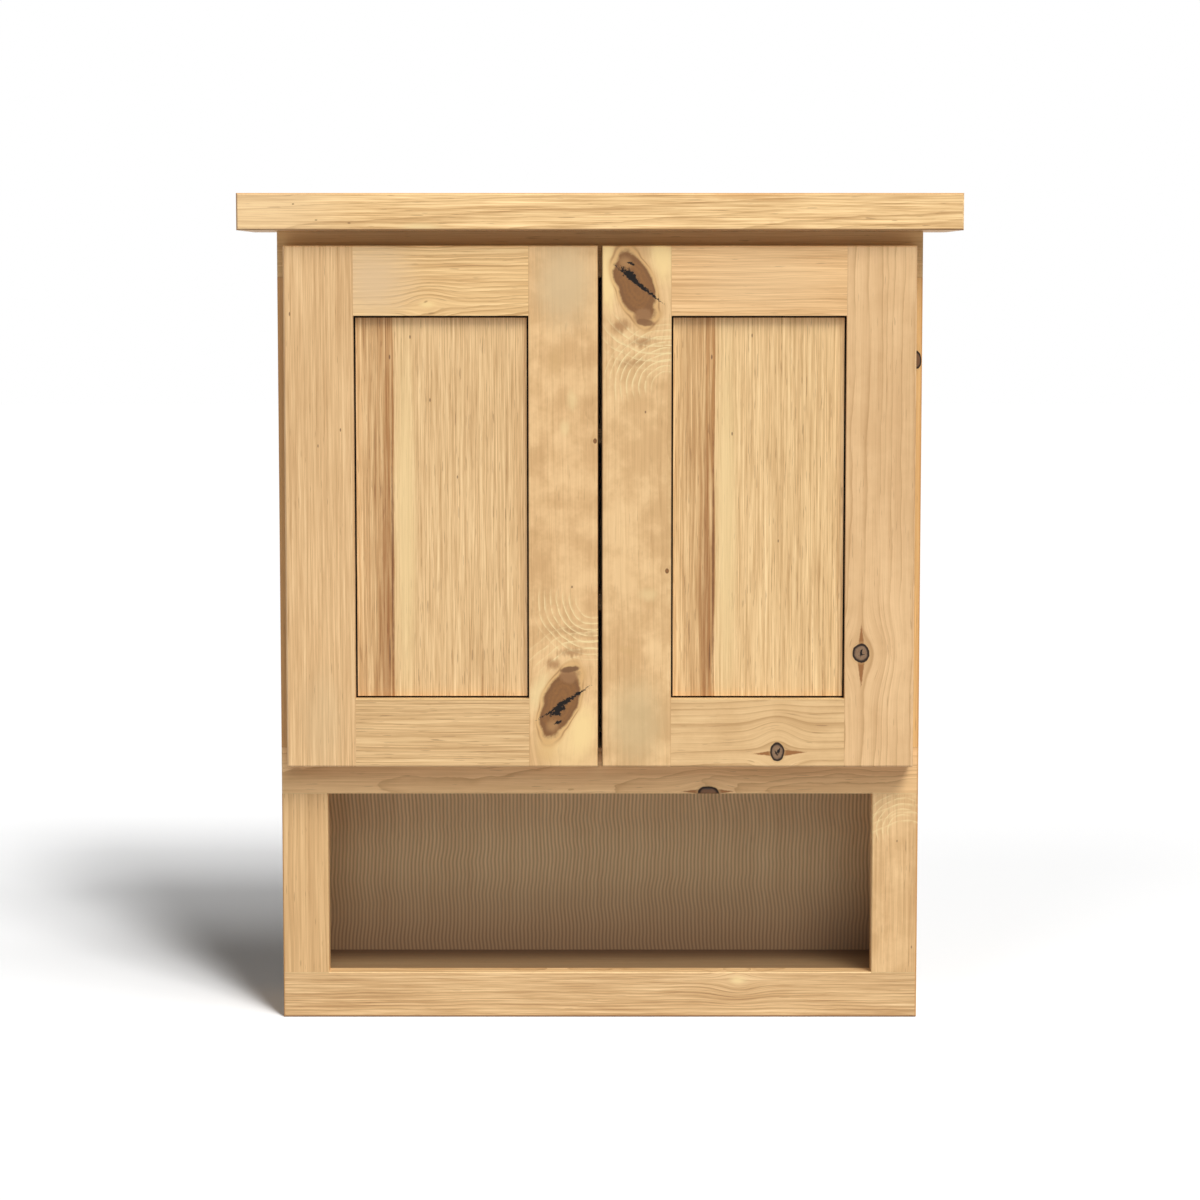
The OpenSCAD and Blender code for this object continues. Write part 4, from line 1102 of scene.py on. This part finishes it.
class CABINET_OT_screws_and_pins(bpy.types.Operator):
    """Finish the screws, hinge pins and shelf pins"""

    bl_idname = "cabinet.screws_and_pins"
    bl_label = "Screws and pins"

    def execute(self, context):
        colour = tuple(context.scene.cabinet_hardware.zinc)
        zinc = plated_material("zinc_plated", colour, ZINC_ROUGHNESS)
        names = ["slab_screws", "upper_shelf_pins", "lower_shelf_pins"]
        for side in ("left_", "right_"):
            names += [side + part for part in ("arm_screws", "cup_screws", "hinge_pins")]
        for name in names:
            dress(name, zinc, SCREW_ROUNDING)
        return {"FINISHED"}


class CABINET_OT_bumpers(bpy.types.Operator):
    """Finish the soft bumpers"""

    bl_idname = "cabinet.bumpers"
    bl_label = "Bumpers"

    def execute(self, context):
        material, tree, shader, coordinates = new_material("clear_rubber")
        cloud = noise(coordinates, BUMPER_CLOUDS, 2.0, 0.5)
        rubber = tuple(context.scene.cabinet_hardware.rubber)
        base = mix(cloud, rubber, tuple(c * BUMPER_SHADE for c in rubber))
        tree.links.new(base, shader.inputs["Base Color"])
        shader.inputs["Roughness"].default_value = BUMPER_ROUGHNESS
        for side in ("left_", "right_"):
            dress(side + "door_bumpers", material, BUMPER_ROUNDING)
        return {"FINISHED"}


# The floor's width and how far it lies below the cabinet's foot, in metres
FLOOR_SIZE, FLOOR_DROP = 30.0, 0.0005
# The camera's sensor in millimetres, and how far it sees in metres
SENSOR_WIDTH, FARTHEST = 36.0, 100.0
CABINET_LIGHT, FLOOR_LIGHT = (1.0, 1.0, 0.94), (1.0, 1.0, 1.0)
# A sun shines the same from any place
LAMP_PLACE = (0, -2, 2)
# Each lamp's azimuth, elevation, strength and spread, with the angles in degrees.
# The first three light the cabinet and leave out the floor. The others draw its soft shadow there
LAMPS = (
    ("key_high", 35, 56, 2.6, 26, "EXCLUDE"),
    ("key_front", 10, 40, 0.9, 40, "EXCLUDE"),
    ("fill_left", -44, 45, 0.18, 33, "EXCLUDE"),
    ("floor_key", 30, 46, 1.6, 14, "INCLUDE"),
    ("floor_low", 22, 38, 1.6, 10, "INCLUDE"),
    ("floor_high", 44, 60, 0.8, 20, "INCLUDE"),
    ("floor_fill", -28, 36, 0.38, 18, "INCLUDE"),
)


def in_view(tree):
    """Mask of the rays that show a surface as it is, straight, in gloss or through glass."""
    rays = node(tree, "LightPath").outputs
    seen = calc("MAXIMUM", rays["Is Camera Ray"], rays["Is Glossy Ray"])
    return calc("MAXIMUM", seen, rays["Is Transmission Ray"])


class CABINET_OT_stage(bpy.types.Operator):
    """Make the floor, lamps, sky and camera"""

    bl_idname = "cabinet.stage"
    bl_label = "Stage"

    def execute(self, context):
        settings = context.scene.cabinet_stage
        floor = self.make_floor(context, settings.floor_white, settings.floor_bounce)
        self.make_sky(context, settings.sky)
        for lamp in LAMPS:
            self.make_lamp(context, floor, *lamp)
        self.make_camera(context, settings)
        context.scene.view_settings.view_transform = "Standard"
        return {"FINISHED"}

    def make_floor(self, context, white, bounce):
        bpy.ops.object.select_all(action="DESELECT")
        bpy.ops.mesh.primitive_plane_add(size=FLOOR_SIZE, location=(0, 0, -FLOOR_DROP))
        floor = context.object
        floor.name = "floor"
        material = bpy.data.materials.new("floor")
        material.use_nodes = True
        tree = material.node_tree
        tree.nodes.clear()
        shown = node(tree, "BsdfDiffuse", {"Color": (white, white, white, 1)})
        given = node(tree, "BsdfDiffuse", {"Color": (bounce, bounce, bounce, 1)})
        both = node(tree, "MixShader", {0: in_view(tree), 1: given.outputs[0], 2: shown.outputs[0]})
        node(tree, "OutputMaterial", {"Surface": both.outputs[0]})
        floor.data.materials.append(material)
        return floor

    def make_sky(self, context, sky):
        world = bpy.data.worlds.new("sky")
        context.scene.world = world
        world.use_nodes = True
        tree = world.node_tree
        tree.nodes.clear()
        strength = calc("MULTIPLY_ADD", in_view(tree), 1.0 - sky, sky)
        background = node(tree, "Background", {"Color": (1, 1, 1, 1), "Strength": strength})
        node(tree, "OutputWorld", {0: background.outputs[0]})

    def make_lamp(self, context, floor, name, azimuth, elevation, strength, spread, floor_state):
        bpy.ops.object.light_add(type="SUN", location=LAMP_PLACE)
        lamp = context.object
        lamp.name = name
        lamp.data.energy = strength
        lamp.data.angle = math.radians(spread)
        lamp.data.color = FLOOR_LIGHT if floor_state == "INCLUDE" else CABINET_LIGHT
        a, e = math.radians(azimuth), math.radians(elevation)
        towards = Vector((math.sin(a) * math.cos(e), -math.cos(a) * math.cos(e), math.sin(e)))
        lamp.rotation_euler = towards.to_track_quat("Z", "Y").to_euler()
        lit = bpy.data.collections.new(name + "_lights")
        lit.objects.link(floor)
        lamp.light_linking.receiver_collection = lit
        lit.collection_objects[0].light_linking.link_state = floor_state

    def make_camera(self, context, settings):
        bpy.ops.object.camera_add(
            location=(0, -settings.camera_distance, settings.camera_height),
            rotation=(math.pi / 2 - settings.camera_pitch, 0, 0))
        camera = context.object
        camera.name = "camera"
        camera.data.lens = settings.lens
        camera.data.sensor_width = SENSOR_WIDTH
        camera.data.clip_end = FARTHEST
        context.scene.camera = camera


class CABINET_PT_panel(bpy.types.Panel):
    """The cabinet's tools"""

    bl_label = "Cabinet"
    bl_idname = "CABINET_PT_panel"
    bl_space_type = "VIEW_3D"
    bl_region_type = "UI"
    bl_category = "Cabinet"

    def draw(self, context):
        for operator in operators:
            self.layout.operator(operator.bl_idname)
        for settings in settings_groups:
            group = getattr(context.scene, settings)
            for name in group.__annotations__:
                self.layout.prop(group, name)


operators = (
    CABINET_OT_stage,
    CABINET_OT_top_slab,
    CABINET_OT_face_frame,
    CABINET_OT_case_boards,
    CABINET_OT_door_frames,
    CABINET_OT_door_panels,
    CABINET_OT_hinges,
    CABINET_OT_screws_and_pins,
    CABINET_OT_bumpers,
)
settings_groups = {
    "cabinet_stage": CabinetStageSettings,
    "cabinet_wood": CabinetWoodSettings,
    "cabinet_hardware": CabinetHardwareSettings,
}


def register():
    for group in settings_groups.values():
        bpy.utils.register_class(group)
    for operator in operators:
        bpy.utils.register_class(operator)
    bpy.utils.register_class(CABINET_PT_panel)
    for name, group in settings_groups.items():
        setattr(bpy.types.Scene, name, bpy.props.PointerProperty(type=group))


def unregister():
    for name in settings_groups:
        delattr(bpy.types.Scene, name)
    bpy.utils.unregister_class(CABINET_PT_panel)
    for operator in reversed(operators):
        bpy.utils.unregister_class(operator)
    for group in settings_groups.values():
        bpy.utils.unregister_class(group)


def main():
    register()
    for operator in operators:
        family, name = operator.bl_idname.split(".")
        getattr(getattr(bpy.ops, family), name)()


if __name__ == "__main__":
    main()
